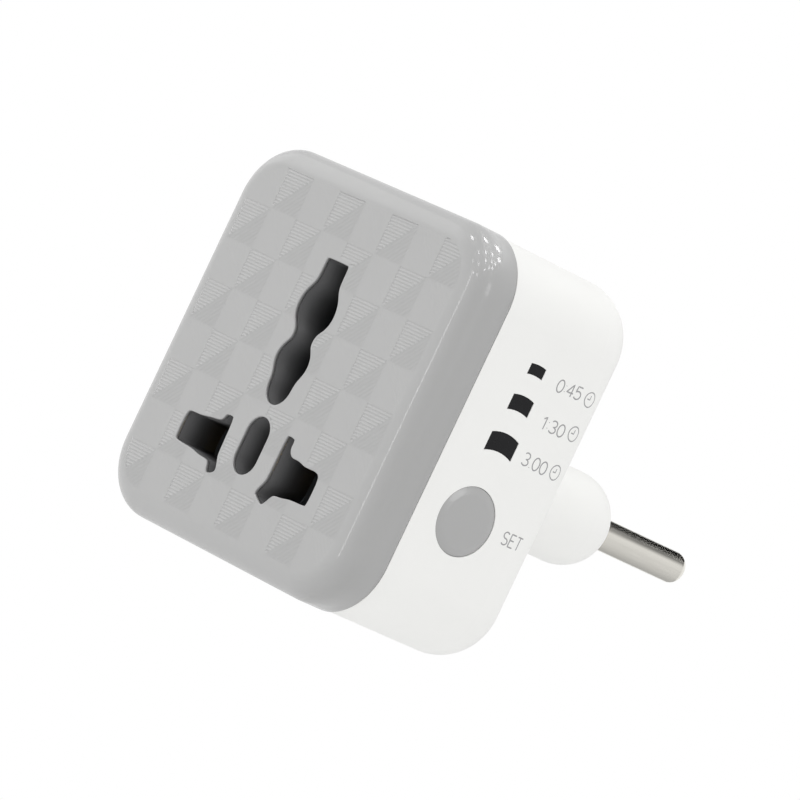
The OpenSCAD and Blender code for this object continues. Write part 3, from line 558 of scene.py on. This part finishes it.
# Each character's strokes, in shares of its height, and how wide it is.
STROKES = {
    "0": ([arc(0.275, 0.5, 0.275, 0.5, 0, 360, 24)], GLYPH_W),
    "1": ([[(0.1, 0.8), (0.32, 1.0), (0.32, 0.0)]], 0.42),
    "3": ([arc(0.26, 0.745, 0.24, 0.255, 150, -90, 14)
           + arc(0.25, 0.25, 0.28, 0.25, 90, -150, 14)], GLYPH_W),
    "4": ([[(0.42, 0.0), (0.42, 1.0), (0.0, 0.3), (0.56, 0.3)]], GLYPH_W),
    "5": ([[(0.5, 1.0), (0.1, 1.0), (0.06, 0.54)] + arc(0.26, 0.32, 0.28, 0.32, 130, -145, 14)], GLYPH_W),
    ":": ([[(0.06, 0.2), (0.06, 0.24)], [(0.06, 0.68), (0.06, 0.72)]], 0.12),
    ".": ([[(0.06, 0.02), (0.06, 0.06)]], 0.12),
    "S": ([arc(0.27, 0.75, 0.25, 0.25, 35, 270, 14) + arc(0.27, 0.25, 0.27, 0.25, 90, -145, 14)], GLYPH_W),
    "E": ([[(0.5, 1.0), (0.05, 1.0), (0.05, 0.0), (0.5, 0.0)], [(0.05, 0.52), (0.43, 0.52)]], GLYPH_W),
    "T": ([[(0.0, 1.0), (0.56, 1.0)], [(0.28, 1.0), (0.28, 0.0)]], GLYPH_W)}
# Each label's text, left and right ends, foot, height, and how far it climbs per mm.
LABELS = [("0:45", 19.6, 23.85, 11.3, 1.64, 0.05), ("1:30", 19.8, 23.95, 6.3, 1.62, 0),
          ("3.00", 19.65, 23.95, 1.2, 1.66, -0.03), ("SET", 22.24, 25.62, -8.94, 1.68, 0)]
CLOCK_DEPTH = 25.7
CLOCK_R = 0.98
CLOCK_HEIGHTS = [12.19, 7.43, 2.04]


def label_strokes(text, left, right, foot, height, climb):
    """Strokes of one label in (d, z), fitted between its left and right ends."""
    width = sum(STROKES[c][1] for c in text) + GLYPH_SPACE * (len(text) - 1)
    scale = (right - left) / width
    strokes = []
    pen = 0
    for c in text:
        lines, advance = STROKES[c]
        for line in lines:
            places = [((pen + u) * scale, v) for u, v in line]
            strokes.append([(left + along, foot + climb * along + v * height) for along, v in places])
        pen += advance + GLYPH_SPACE
    return strokes


def clock_strokes(z):
    hand = 0.55 * CLOCK_R
    return [arc(CLOCK_DEPTH, z, CLOCK_R, CLOCK_R, 0, 360, 40),
            [(CLOCK_DEPTH, z + hand), (CLOCK_DEPTH, z), (CLOCK_DEPTH - hand, z)]]


def stepped(stroke):
    """The stroke with points no further apart than PRINT_STEP."""
    points = [stroke[0]]
    for a, b in zip(stroke, stroke[1:]):
        steps = math.ceil(math.dist(a, b) / PRINT_STEP)
        for k in range(1, steps + 1):
            points.append((a[0] + (b[0] - a[0]) * k / steps, a[1] + (b[1] - a[1]) * k / steps))
    return points


def add_stroke(curve, stroke, width):
    points = stepped(stroke)
    closed = math.dist(points[0], points[-1]) < PRINT_W / 4
    points = points[:-1] if closed else points
    spline = curve.splines.new("POLY")
    spline.points.add(len(points) - 1)
    spline.use_cyclic_u = closed
    for point, (d, z) in zip(spline.points, points):
        point.co = (*case_point(HOUSING_SIDE, d, z), 1)
        point.radius = width / PRINT_W


def pressed_on(housing, point, above):
    """The point moved along x to lie above the housing's side."""
    start = Vector(((HOUSING_SIDE + 1) * MM, point.y, point.z))
    back = housing.matrix_world.inverted()
    found, place, _, _ = housing.ray_cast(back @ start, back.to_3x3() @ Vector((-1, 0, 0)))
    return (housing.matrix_world @ place).x + above if found else point.x


def print_mesh():
    """All strokes as one mesh of thin round lines, in the plane of the housing's side."""
    curve = bpy.data.curves.new("side_print", "CURVE")
    curve.dimensions = "3D"
    curve.bevel_depth = PRINT_W / 2 * MM
    curve.bevel_resolution = 2
    curve.use_fill_caps = True
    for label in LABELS:
        for stroke in label_strokes(*label):
            add_stroke(curve, stroke, PRINT_W)
    for z in CLOCK_HEIGHTS:
        for stroke in clock_strokes(z):
            add_stroke(curve, stroke, CLOCK_PRINT_W)
    drawn = bpy.data.objects.new("side_print_drawn", curve)
    bpy.context.scene.collection.objects.link(drawn)
    shown = drawn.evaluated_get(bpy.context.evaluated_depsgraph_get())
    mesh = bpy.data.meshes.new_from_object(shown)
    bpy.data.objects.remove(drawn)
    return mesh


def side_print(material):
    mesh = print_mesh()
    housing = frame["nodes"]["rear_housing"]
    for vert in mesh.vertices:
        above = (vert.co.x / MM - HOUSING_SIDE) * PRINT_PROUD / (PRINT_W / 2) * MM
        vert.co.x = pressed_on(housing, vert.co, above)
    mesh.materials.clear()
    mesh.materials.append(material)
    piece = bpy.data.objects.new("side_print", mesh)
    bpy.context.scene.collection.objects.link(piece)
    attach(piece, "case")


# ---- finishes ----

class Finish:
    """A material with one shader and helpers for the textures that drive it."""

    def __init__(self, name, colour, roughness, **sockets):
        self.material = bpy.data.materials.new(name)
        self.material.use_nodes = True
        self.nodes = self.material.node_tree.nodes
        self.links = self.material.node_tree.links
        self.shader = self.nodes["Principled BSDF"]
        self.colour = colour
        self.shader.inputs["Base Color"].default_value = (*colour, 1)
        self.shader.inputs["Roughness"].default_value = roughness
        for socket, value in sockets.items():
            self.shader.inputs[socket.replace("_", " ")].default_value = value
        self.place = self.nodes.new("ShaderNodeTexCoord").outputs["Object"]
        self.bump = None

    def stretched(self, scale):
        mapping = self.nodes.new("ShaderNodeMapping")
        mapping.inputs["Scale"].default_value = scale
        self.links.new(self.place, mapping.inputs["Vector"])
        return mapping.outputs["Vector"]

    def noise(self, size, detail=2, stretch=(1, 1, 1)):
        """Noise whose features are about size mm across."""
        node = self.nodes.new("ShaderNodeTexNoise")
        node.inputs["Scale"].default_value = 1 / (size * MM)
        node.inputs["Detail"].default_value = detail
        self.links.new(self.stretched(stretch), node.inputs["Vector"])
        return node.outputs["Fac"]

    def ranged(self, value, low, high, start=0.3, end=0.7):
        node = self.nodes.new("ShaderNodeMapRange")
        node.inputs["From Min"].default_value = start
        node.inputs["From Max"].default_value = end
        node.inputs["To Min"].default_value = low
        node.inputs["To Max"].default_value = high
        self.links.new(value, node.inputs["Value"])
        return node.outputs["Result"]

    def mixed(self, value, low, high):
        node = self.nodes.new("ShaderNodeMix")
        node.data_type = "RGBA"
        for index, colour in ((6, low), (7, high)):
            if isinstance(colour, tuple):
                node.inputs[index].default_value = (*colour, 1)
            else:
                self.links.new(colour, node.inputs[index])
        self.links.new(value, node.inputs[0])
        return node.outputs[2]

    def coloured(self, colour):
        self.links.new(colour, self.shader.inputs["Base Color"])
        return self

    def clouded(self, size, spread):
        """Colour that drifts slightly lighter and darker."""
        low = tuple(c * (1 - spread) for c in self.colour)
        high = tuple(min(c * (1 + spread), 1) for c in self.colour)
        return self.coloured(self.mixed(self.ranged(self.noise(size, 3), 0, 1), low, high))

    def rubbed(self, size, low, high, stretch=(1, 1, 1)):
        """Roughness that changes over the surface."""
        self.links.new(self.ranged(self.noise(size, 3, stretch), low, high), self.shader.inputs["Roughness"])
        return self

    def raised(self, height, depth_mm):
        node = self.nodes.new("ShaderNodeBump")
        node.inputs["Distance"].default_value = depth_mm * MM
        self.links.new(height, node.inputs["Height"])
        if self.bump:
            self.links.new(self.bump, node.inputs["Normal"])
        self.bump = node.outputs["Normal"]
        self.links.new(self.bump, self.shader.inputs["Normal"])
        return self


CLOUD_SIZE = 9
RUB = 0.03


def moulded(name, colour, roughness, grain=0.25, depth=0.004, spread=0.02, patch=1.5, **sockets):
    """Plastic: clouds of colour, patches of rougher and smoother skin, and a fine grain, in mm."""
    finish = Finish(name, colour, roughness, **sockets)
    finish.clouded(CLOUD_SIZE, spread).rubbed(patch, roughness - RUB, roughness + RUB)
    return finish.raised(finish.noise(grain, 3), depth).material


def glossy(name, colour, roughness=0.2, coat=0.4, **sockets):
    finish = Finish(name, colour, roughness, Coat_Weight=coat, Coat_Roughness=0.1, **sockets)
    finish.clouded(4, 0.05).rubbed(0.8, roughness - 0.05, roughness + 0.08)
    return finish.raised(finish.noise(2, 2), 0.006).material


def brushed(name, colour, roughness, stretch, spread=0.05, depth=0.0015):
    finish = Finish(name, colour, roughness, Metallic=1.0)
    streaks = finish.noise(0.12, 4, stretch)
    low = tuple(c * (1 - spread) for c in colour)
    high = tuple(min(c * (1 + spread), 1) for c in colour)
    finish.coloured(finish.mixed(finish.ranged(streaks, 0, 1), low, high))
    finish.rubbed(0.3, roughness - 0.07, roughness + 0.1, stretch)
    return finish.raised(streaks, depth).material


def laminate(name, colour):
    """Solder mask over copper tracks."""
    finish = Finish(name, colour, 0.35, Coat_Weight=0.3)
    tracks = finish.nodes.new("ShaderNodeTexVoronoi")
    tracks.distance = "MANHATTAN"
    tracks.feature = "DISTANCE_TO_EDGE"
    tracks.inputs["Scale"].default_value = 1 / (1.6 * MM)
    finish.links.new(finish.place, tracks.inputs["Vector"])
    line = finish.ranged(tracks.outputs["Distance"], 1, 0, 0.06, 0.1)
    lighter = tuple(c * 1.7 for c in colour)
    finish.coloured(finish.mixed(line, colour, lighter))
    return finish.raised(line, 0.03).raised(finish.noise(0.2, 2), 0.002).material


def wound(name, colour):
    """Enamelled wire in turns along x."""
    finish = Finish(name, colour, 0.3, Metallic=0.9, Coat_Weight=0.5)
    turns = finish.nodes.new("ShaderNodeTexWave")
    turns.bands_direction = "X"
    turns.inputs["Scale"].default_value = 1 / (0.3 * MM) / (2 * math.pi) * 2
    turns.inputs["Distortion"].default_value = 0.6
    finish.links.new(finish.place, turns.inputs["Vector"])
    # The wire is painted darker in the valleys between its turns: painted shade in the grooves.
    darker = tuple(c * 0.5 for c in colour)
    finish.coloured(finish.mixed(turns.outputs["Fac"], darker, colour))
    return finish.raised(turns.outputs["Fac"], 0.05).material


COVER_GREY = (0.376, 0.376, 0.374)
BUTTON_GREY = (0.395, 0.395, 0.393)
HOUSING_WHITE = (0.905, 0.905, 0.887)
ALONG_Y = (1, 0.03, 1)
ALONG_Z = (1, 1, 0.06)

FINISHES = {
    "cover_plastic": moulded("cover_plastic", COVER_GREY, 0.42, grain=0.18, depth=0.0015, spread=0.008,
                             Coat_Weight=0.5, Coat_Roughness=0.08),
    "housing_plastic": moulded("housing_plastic", HOUSING_WHITE, 0.55, grain=0.3, depth=0.003, spread=0.006,
                               Specular_IOR_Level=0.15),
    "button_plastic": moulded("button_plastic", BUTTON_GREY, 0.3, grain=0.2, depth=0.0015, spread=0.008,
                              patch=6, Coat_Weight=0.5, Coat_Roughness=0.08),
    "window_smoke": glossy("window_smoke", (0.008, 0.008, 0.009), 0.25, coat=0, Specular_IOR_Level=0.16),
    "pin_nickel": brushed("pin_nickel", (0.775, 0.755, 0.7), 0.15, ALONG_Y, spread=0.03, depth=0.0006),
    "screw_steel": brushed("screw_steel", (0.62, 0.63, 0.65), 0.32, (1, 1, 0.3)),
    "contact_brass": brushed("contact_brass", (0.72, 0.52, 0.2), 0.28, ALONG_Z),
    "carrier_plastic": moulded("carrier_plastic", (0.1, 0.11, 0.12), 0.55, depth=0.006),
    "black_plastic": moulded("black_plastic", (0.03, 0.03, 0.035), 0.5, depth=0.006),
    "board_laminate": laminate("board_laminate", (0.05, 0.19, 0.08)),
    "relay_blue": glossy("relay_blue", (0.05, 0.14, 0.42), 0.3),
    "relay_iron": brushed("relay_iron", (0.4, 0.41, 0.43), 0.38, ALONG_Z),
    "bobbin_plastic": moulded("bobbin_plastic", (0.82, 0.77, 0.63), 0.5, spread=0.04),
    "winding_copper": wound("winding_copper", (0.5, 0.18, 0.06)),
    "capacitor_yellow": glossy("capacitor_yellow", (0.76, 0.46, 0.05), 0.3),
    "varistor_blue": glossy("varistor_blue", (0.03, 0.13, 0.38), 0.28),
    "resistor_green": moulded("resistor_green", (0.12, 0.24, 0.16), 0.6, depth=0.01, spread=0.1),
    "capacitor_sleeve": glossy("capacitor_sleeve", (0.02, 0.03, 0.09), 0.25),
    "led_lens": glossy("led_lens", (0.88, 0.85, 0.74), 0.15, Transmission_Weight=0.5),
    "live_lead": moulded("live_lead", (0.2, 0.07, 0.03), 0.5, grain=0.4, depth=0.01, spread=0.06),
    "neutral_lead": moulded("neutral_lead", (0.04, 0.12, 0.4), 0.5, grain=0.4, depth=0.01, spread=0.06),
    "ribbon_grey": moulded("ribbon_grey", (0.33, 0.34, 0.36), 0.5, grain=0.4, depth=0.01, spread=0.05)}

# The insert behind the openings is dark grey, partly as its own colour and partly as painted shade that
# stands in for the shade inside the openings.
LINER_AND_SHADE = moulded("opening_liner_and_shade", (0.082, 0.082, 0.084), 0.6, depth=0.006)
# The lower right halves of the split cells have a finer etched grain; their colour, 4 % darker than the
# cover's, is painted shade standing in for the shade among their fine slanting ridges.
ETCH_AND_SHADE = moulded("cover_etch_and_shade", tuple(0.96 * c for c in COVER_GREY), 0.42, grain=0.12, spread=0.008)
INK = moulded("side_print", (0.33, 0.33, 0.335), 0.5, grain=0.1, depth=0.001, spread=0.08)


def dress_nodes():
    """Gives every carried-over part the finish of its slot."""
    for part in frame["nodes"].values():
        for slot in part.material_slots:
            slot.material = FINISHES[slot.material.name.split(".")[0]]


# ---- studio ----

STUDIO_R = 0.6
FLOOR_DROP = 0.15
FLOOR_GREY = 0.86
FLOOR_ROUGHNESS = 0.9
# Where the floor starts to fade into the backdrop and where it ends, as shares of its radius.
FADE_START = 0.25
FADE_END = 0.9
AMBIENT = 0.8
# Each lamp's name, direction from the part, strength and size.
LAMPS = [("top_lamp", (0.1, 0.15, 1), 0.21, 0.5),
         ("front_lamp", (-0.3, -1, -0.1), 0.37, 0.5),
         ("left_lamp", (-1, -0.3, 0.1), 0.2, 0.5),
         ("side_lamp", (1, 0, 0.1), 0.1, 0.5)]


def studio_middle():
    low, high = cad_box
    return (Vector(low) + Vector(high)) / 2


def aim(thing, toward):
    thing.rotation_euler = (toward - thing.location).to_track_quat("-Z", "Y").to_euler()


def lamps():
    """Each lamp lights a surface that faces it by its strength times that surface's colour."""
    middle = studio_middle()
    for name, direction, strength, size in LAMPS:
        light = bpy.data.lights.new(name, "AREA")
        light.shape = "SQUARE"
        light.size = size
        light.energy = strength * math.pi ** 2 * STUDIO_R ** 2
        lamp = bpy.data.objects.new(name, light)
        lamp.location = middle + Vector(direction).normalized() * STUDIO_R
        lamp.visible_glossy = False
        aim(lamp, middle)
        bpy.context.scene.collection.objects.link(lamp)


def seen_directly(nodes, links):
    """1 for the camera's rays and for those that gloss or glass sends on, otherwise 0."""
    path = nodes.new("ShaderNodeLightPath")
    total = path.outputs["Is Camera Ray"]
    for kind in ("Is Glossy Ray", "Is Transmission Ray"):
        either = nodes.new("ShaderNodeMath")
        either.operation = "MAXIMUM"
        links.new(total, either.inputs[0])
        links.new(path.outputs[kind], either.inputs[1])
        total = either.outputs[0]
    return total


def world():
    surround = bpy.data.worlds.new("studio")
    surround.use_nodes = True
    nodes, links = surround.node_tree.nodes, surround.node_tree.links
    ambient = nodes["Background"]
    ambient.inputs["Strength"].default_value = AMBIENT
    ambient.inputs["Color"].default_value = (1, 1, 1, 1)
    backdrop = nodes.new("ShaderNodeBackground")
    backdrop.inputs["Color"].default_value = (1, 1, 1, 1)
    mix = nodes.new("ShaderNodeMixShader")
    links.new(seen_directly(nodes, links), mix.inputs[0])
    links.new(ambient.outputs[0], mix.inputs[1])
    links.new(backdrop.outputs[0], mix.inputs[2])
    links.new(mix.outputs[0], nodes["World Output"].inputs["Surface"])
    bpy.context.scene.world = surround


def floor_material():
    """A pale matt floor that turns into the white backdrop towards its rim."""
    material = bpy.data.materials.new("floor")
    material.use_nodes = True
    nodes, links = material.node_tree.nodes, material.node_tree.links
    matt = nodes["Principled BSDF"]
    matt.inputs["Base Color"].default_value = (FLOOR_GREY, FLOOR_GREY, FLOOR_GREY, 1)
    matt.inputs["Roughness"].default_value = FLOOR_ROUGHNESS
    glow = nodes.new("ShaderNodeEmission")
    place = nodes.new("ShaderNodeTexCoord")
    reach = nodes.new("ShaderNodeVectorMath")
    reach.operation = "LENGTH"
    links.new(place.outputs["Object"], reach.inputs[0])
    fade = nodes.new("ShaderNodeMapRange")
    fade.interpolation_type = "SMOOTHSTEP"
    fade.inputs["From Min"].default_value = STUDIO_R * FADE_START
    fade.inputs["From Max"].default_value = STUDIO_R * FADE_END
    links.new(reach.outputs["Value"], fade.inputs["Value"])
    share = nodes.new("ShaderNodeMath")
    share.operation = "MULTIPLY"
    links.new(fade.outputs["Result"], share.inputs[0])
    links.new(seen_directly(nodes, links), share.inputs[1])
    mix = nodes.new("ShaderNodeMixShader")
    links.new(share.outputs[0], mix.inputs[0])
    links.new(matt.outputs[0], mix.inputs[1])
    links.new(glow.outputs[0], mix.inputs[2])
    links.new(mix.outputs[0], nodes["Material Output"].inputs["Surface"])
    return material


def studio_floor():
    mesh = bpy.data.meshes.new("studio_floor")
    bm = bmesh.new()
    bmesh.ops.create_circle(bm, cap_ends=True, segments=96, radius=STUDIO_R)
    bm.to_mesh(mesh)
    bm.free()
    mesh.materials.append(floor_material())
    floor = bpy.data.objects.new("studio_floor", mesh)
    middle = studio_middle()
    floor.location = (middle.x, middle.y, cad_box[0][2] - FLOOR_DROP)
    bpy.context.scene.collection.objects.link(floor)


# A strip around the pins, seen only in reflections, gives the metal its bright and dark bands:
# each angle from +x toward +z in degrees, with the brightness there.
BANDS = [(-140, 0.45), (-110, 0.52), (-85, 0.6), (-58, 0.7), (-30, 0.77), (0, 0.8), (28, 0.89), (36, 0.8),
         (43, 0.6), (51, 0.4), (58, 0.25), (66, 0.23), (76, 0.2), (85, 0.08), (93, 0), (112, 0), (125, 0),
         (134, 0.04), (150, 0.45)]
STRIP_R = 0.04
# Where the strip starts and ends behind the middle of the pin, as shares of its radius.
STRIP_NEAR = 0.45
STRIP_FAR = 2.1
STRIP_STEPS = 90


def band_material():
    material = bpy.data.materials.new("reflected_bands")
    material.use_nodes = True
    nodes, links = material.node_tree.nodes, material.node_tree.links
    nodes.remove(nodes["Principled BSDF"])
    place = nodes.new("ShaderNodeTexCoord")
    parts = nodes.new("ShaderNodeSeparateXYZ")
    links.new(place.outputs["Object"], parts.inputs[0])
    turn = nodes.new("ShaderNodeMath")
    turn.operation = "ARCTAN2"
    links.new(parts.outputs["Z"], turn.inputs[0])
    links.new(parts.outputs["X"], turn.inputs[1])
    first, last = BANDS[0][0], BANDS[-1][0]
    share = nodes.new("ShaderNodeMapRange")
    share.inputs["From Min"].default_value = math.radians(first)
    share.inputs["From Max"].default_value = math.radians(last)
    links.new(turn.outputs[0], share.inputs["Value"])
    ramp = nodes.new("ShaderNodeValToRGB")
    stops = ramp.color_ramp.elements
    for angle, _ in BANDS[1:-1]:
        stops.new((angle - first) / (last - first))
    for stop, (_, level) in zip(stops, BANDS):
        stop.color = (level, level, level, 1)
    links.new(share.outputs["Result"], ramp.inputs["Fac"])
    glow = nodes.new("ShaderNodeEmission")
    links.new(ramp.outputs["Color"], glow.inputs["Color"])
    links.new(glow.outputs[0], nodes["Material Output"].inputs["Surface"])
    return material


def only_reflected(thing):
    thing.visible_camera = False
    thing.visible_diffuse = False
    thing.visible_shadow = False
    thing.visible_transmission = False
    bpy.context.scene.collection.objects.link(thing)


def glow_material(name, strength):
    material = bpy.data.materials.new(name)
    material.use_nodes = True
    nodes, links = material.node_tree.nodes, material.node_tree.links
    nodes.remove(nodes["Principled BSDF"])
    glow = nodes.new("ShaderNodeEmission")
    glow.inputs["Strength"].default_value = strength
    links.new(glow.outputs[0], nodes["Material Output"].inputs["Surface"])
    return material


def glow_mesh(name, build, strength):
    mesh = bpy.data.meshes.new(name)
    bm = bmesh.new()
    build(bm)
    bm.to_mesh(mesh)
    bm.free()
    mesh.materials.append(glow_material(name, strength))
    return bpy.data.objects.new(name, mesh)


# Small ceiling lamps give the rows of glints on the cover's upper corner: how far across and back
# each one is, and its radius, as shares of the ceiling's height.
CEILING = 0.4
CEILING_LAMPS = [
    (-0.36, -0.62, 0.09), (-0.09, 0.07, 0.09), (-0.22, 0.82, 0.09), (0.16, -0.73, 0.07), (0.28, -0.22, 0.07),
    (0.29, 0.23, 0.07), (-0.04, -1.67, 0.07), (0.54, -1.03, 0.08), (0.56, -0.34, 0.07), (0.56, 0.15, 0.07),
    (0.2, 0.8, 0.08), (0.53, 0.5, 0.07), (0.95, -0.49, 0.07), (0.84, -0.08, 0.07), (0.79, 0.25, 0.07),
    (0.66, -2.19, 0.1), (1.06, -1.56, 0.1)]
CEILING_GLOW = 16


def ceiling_lamps():
    def build(bm):
        for across, back, r in CEILING_LAMPS:
            place = Matrix.Translation((across * CEILING, back * CEILING, CEILING))
            bmesh.ops.create_circle(bm, cap_ends=True, segments=12, radius=r * CEILING, matrix=place)

    lamps_seen = glow_mesh("ceiling_lamps", build, CEILING_GLOW)
    lamps_seen.location = studio_middle()
    only_reflected(lamps_seen)


# Cards by name, direction, half width, half height and brightness: one draws the line along the
# cover's right edge, one lights the upper sides of the face's ridges and one the button's crown.
CARD_REACH = 0.5
CARDS = [("edge_card", (0.175, -0.985, 0.1), 0.018, 0.16, 8),
         ("ridge_card", (-0.765, -0.42, 0.48), 0.2, 0.13, 1.75),
         ("button_card", (0.93, 0.2, 0.33), 0.08, 0.08, 3.4)]


def cards():
    for name, direction, half_wide, half_high, strength in CARDS:
        def build(bm):
            place = Matrix.Diagonal((half_wide, half_high, 1, 1))
            bmesh.ops.create_grid(bm, x_segments=1, y_segments=1, size=1, matrix=place)

        card = glow_mesh(name, build, strength)
        card.location = studio_middle() + Vector(direction).normalized() * CARD_REACH
        aim(card, studio_middle())
        only_reflected(card)


def reflected_strip():
    low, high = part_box("neutral_pin")
    mesh = bpy.data.meshes.new("reflected_strip")
    bm = bmesh.new()
    first, last = BANDS[0][0], BANDS[-1][0]
    rows = []
    for step in range(STRIP_STEPS + 1):
        t = math.radians(first + (last - first) * step / STRIP_STEPS)
        x, z = STRIP_R * math.cos(t), STRIP_R * math.sin(t)
        rows.append([bm.verts.new((x, y, z)) for y in (STRIP_NEAR * STRIP_R, STRIP_FAR * STRIP_R)])
    for a, b in zip(rows, rows[1:]):
        bm.faces.new((a[0], a[1], b[1], b[0]))
    bm.to_mesh(mesh)
    bm.free()
    mesh.materials.append(band_material())
    strip = bpy.data.objects.new("reflected_strip", mesh)
    strip.location = (low + high) / 2
    only_reflected(strip)


# ---- camera ----

VIEW_YAW = math.radians(49.8933)
VIEW_PITCH = math.radians(0.0436)
VIEW_ROLL = math.radians(25.3842)
VIEW_RIGHT = -13.979
VIEW_UP = 4.483
VIEW_DISTANCE = 797.2
FOCAL_PX = 6302.76
FRAME_PX = 800
SENSOR_MM = 36
CLIP_START = 0.05
CLIP_END = 10


def camera():
    back = Vector((math.sin(VIEW_YAW) * math.cos(VIEW_PITCH), -math.cos(VIEW_YAW) * math.cos(VIEW_PITCH),
                   math.sin(VIEW_PITCH)))
    level = Vector((math.cos(VIEW_YAW), math.sin(VIEW_YAW), 0))
    upright = back.cross(level)
    right = math.cos(VIEW_ROLL) * level + math.sin(VIEW_ROLL) * upright
    up = math.cos(VIEW_ROLL) * upright - math.sin(VIEW_ROLL) * level
    data = bpy.data.cameras.new("camera")
    data.sensor_width = SENSOR_MM
    data.lens = FOCAL_PX / FRAME_PX * SENSOR_MM
    data.clip_start = CLIP_START
    data.clip_end = CLIP_END
    view = bpy.data.objects.new("camera", data)
    place = case_point(*(VIEW_DISTANCE * back - VIEW_RIGHT * right - VIEW_UP * up))
    turn = Matrix((right, up, back)).transposed()
    view.matrix_world = Matrix.Translation(place) @ turn.to_4x4()
    bpy.context.scene.collection.objects.link(view)
    bpy.context.scene.camera = view


camera()
bpy.context.scene.view_settings.view_transform = "Standard"
dress_nodes()
front_cover(FINISHES["cover_plastic"], ETCH_AND_SHADE)
socket_insert(LINER_AND_SHADE)
set_button(FINISHES["button_plastic"])
side_print(INK)
world()
lamps()
studio_floor()
reflected_strip()
ceiling_lamps()
cards()
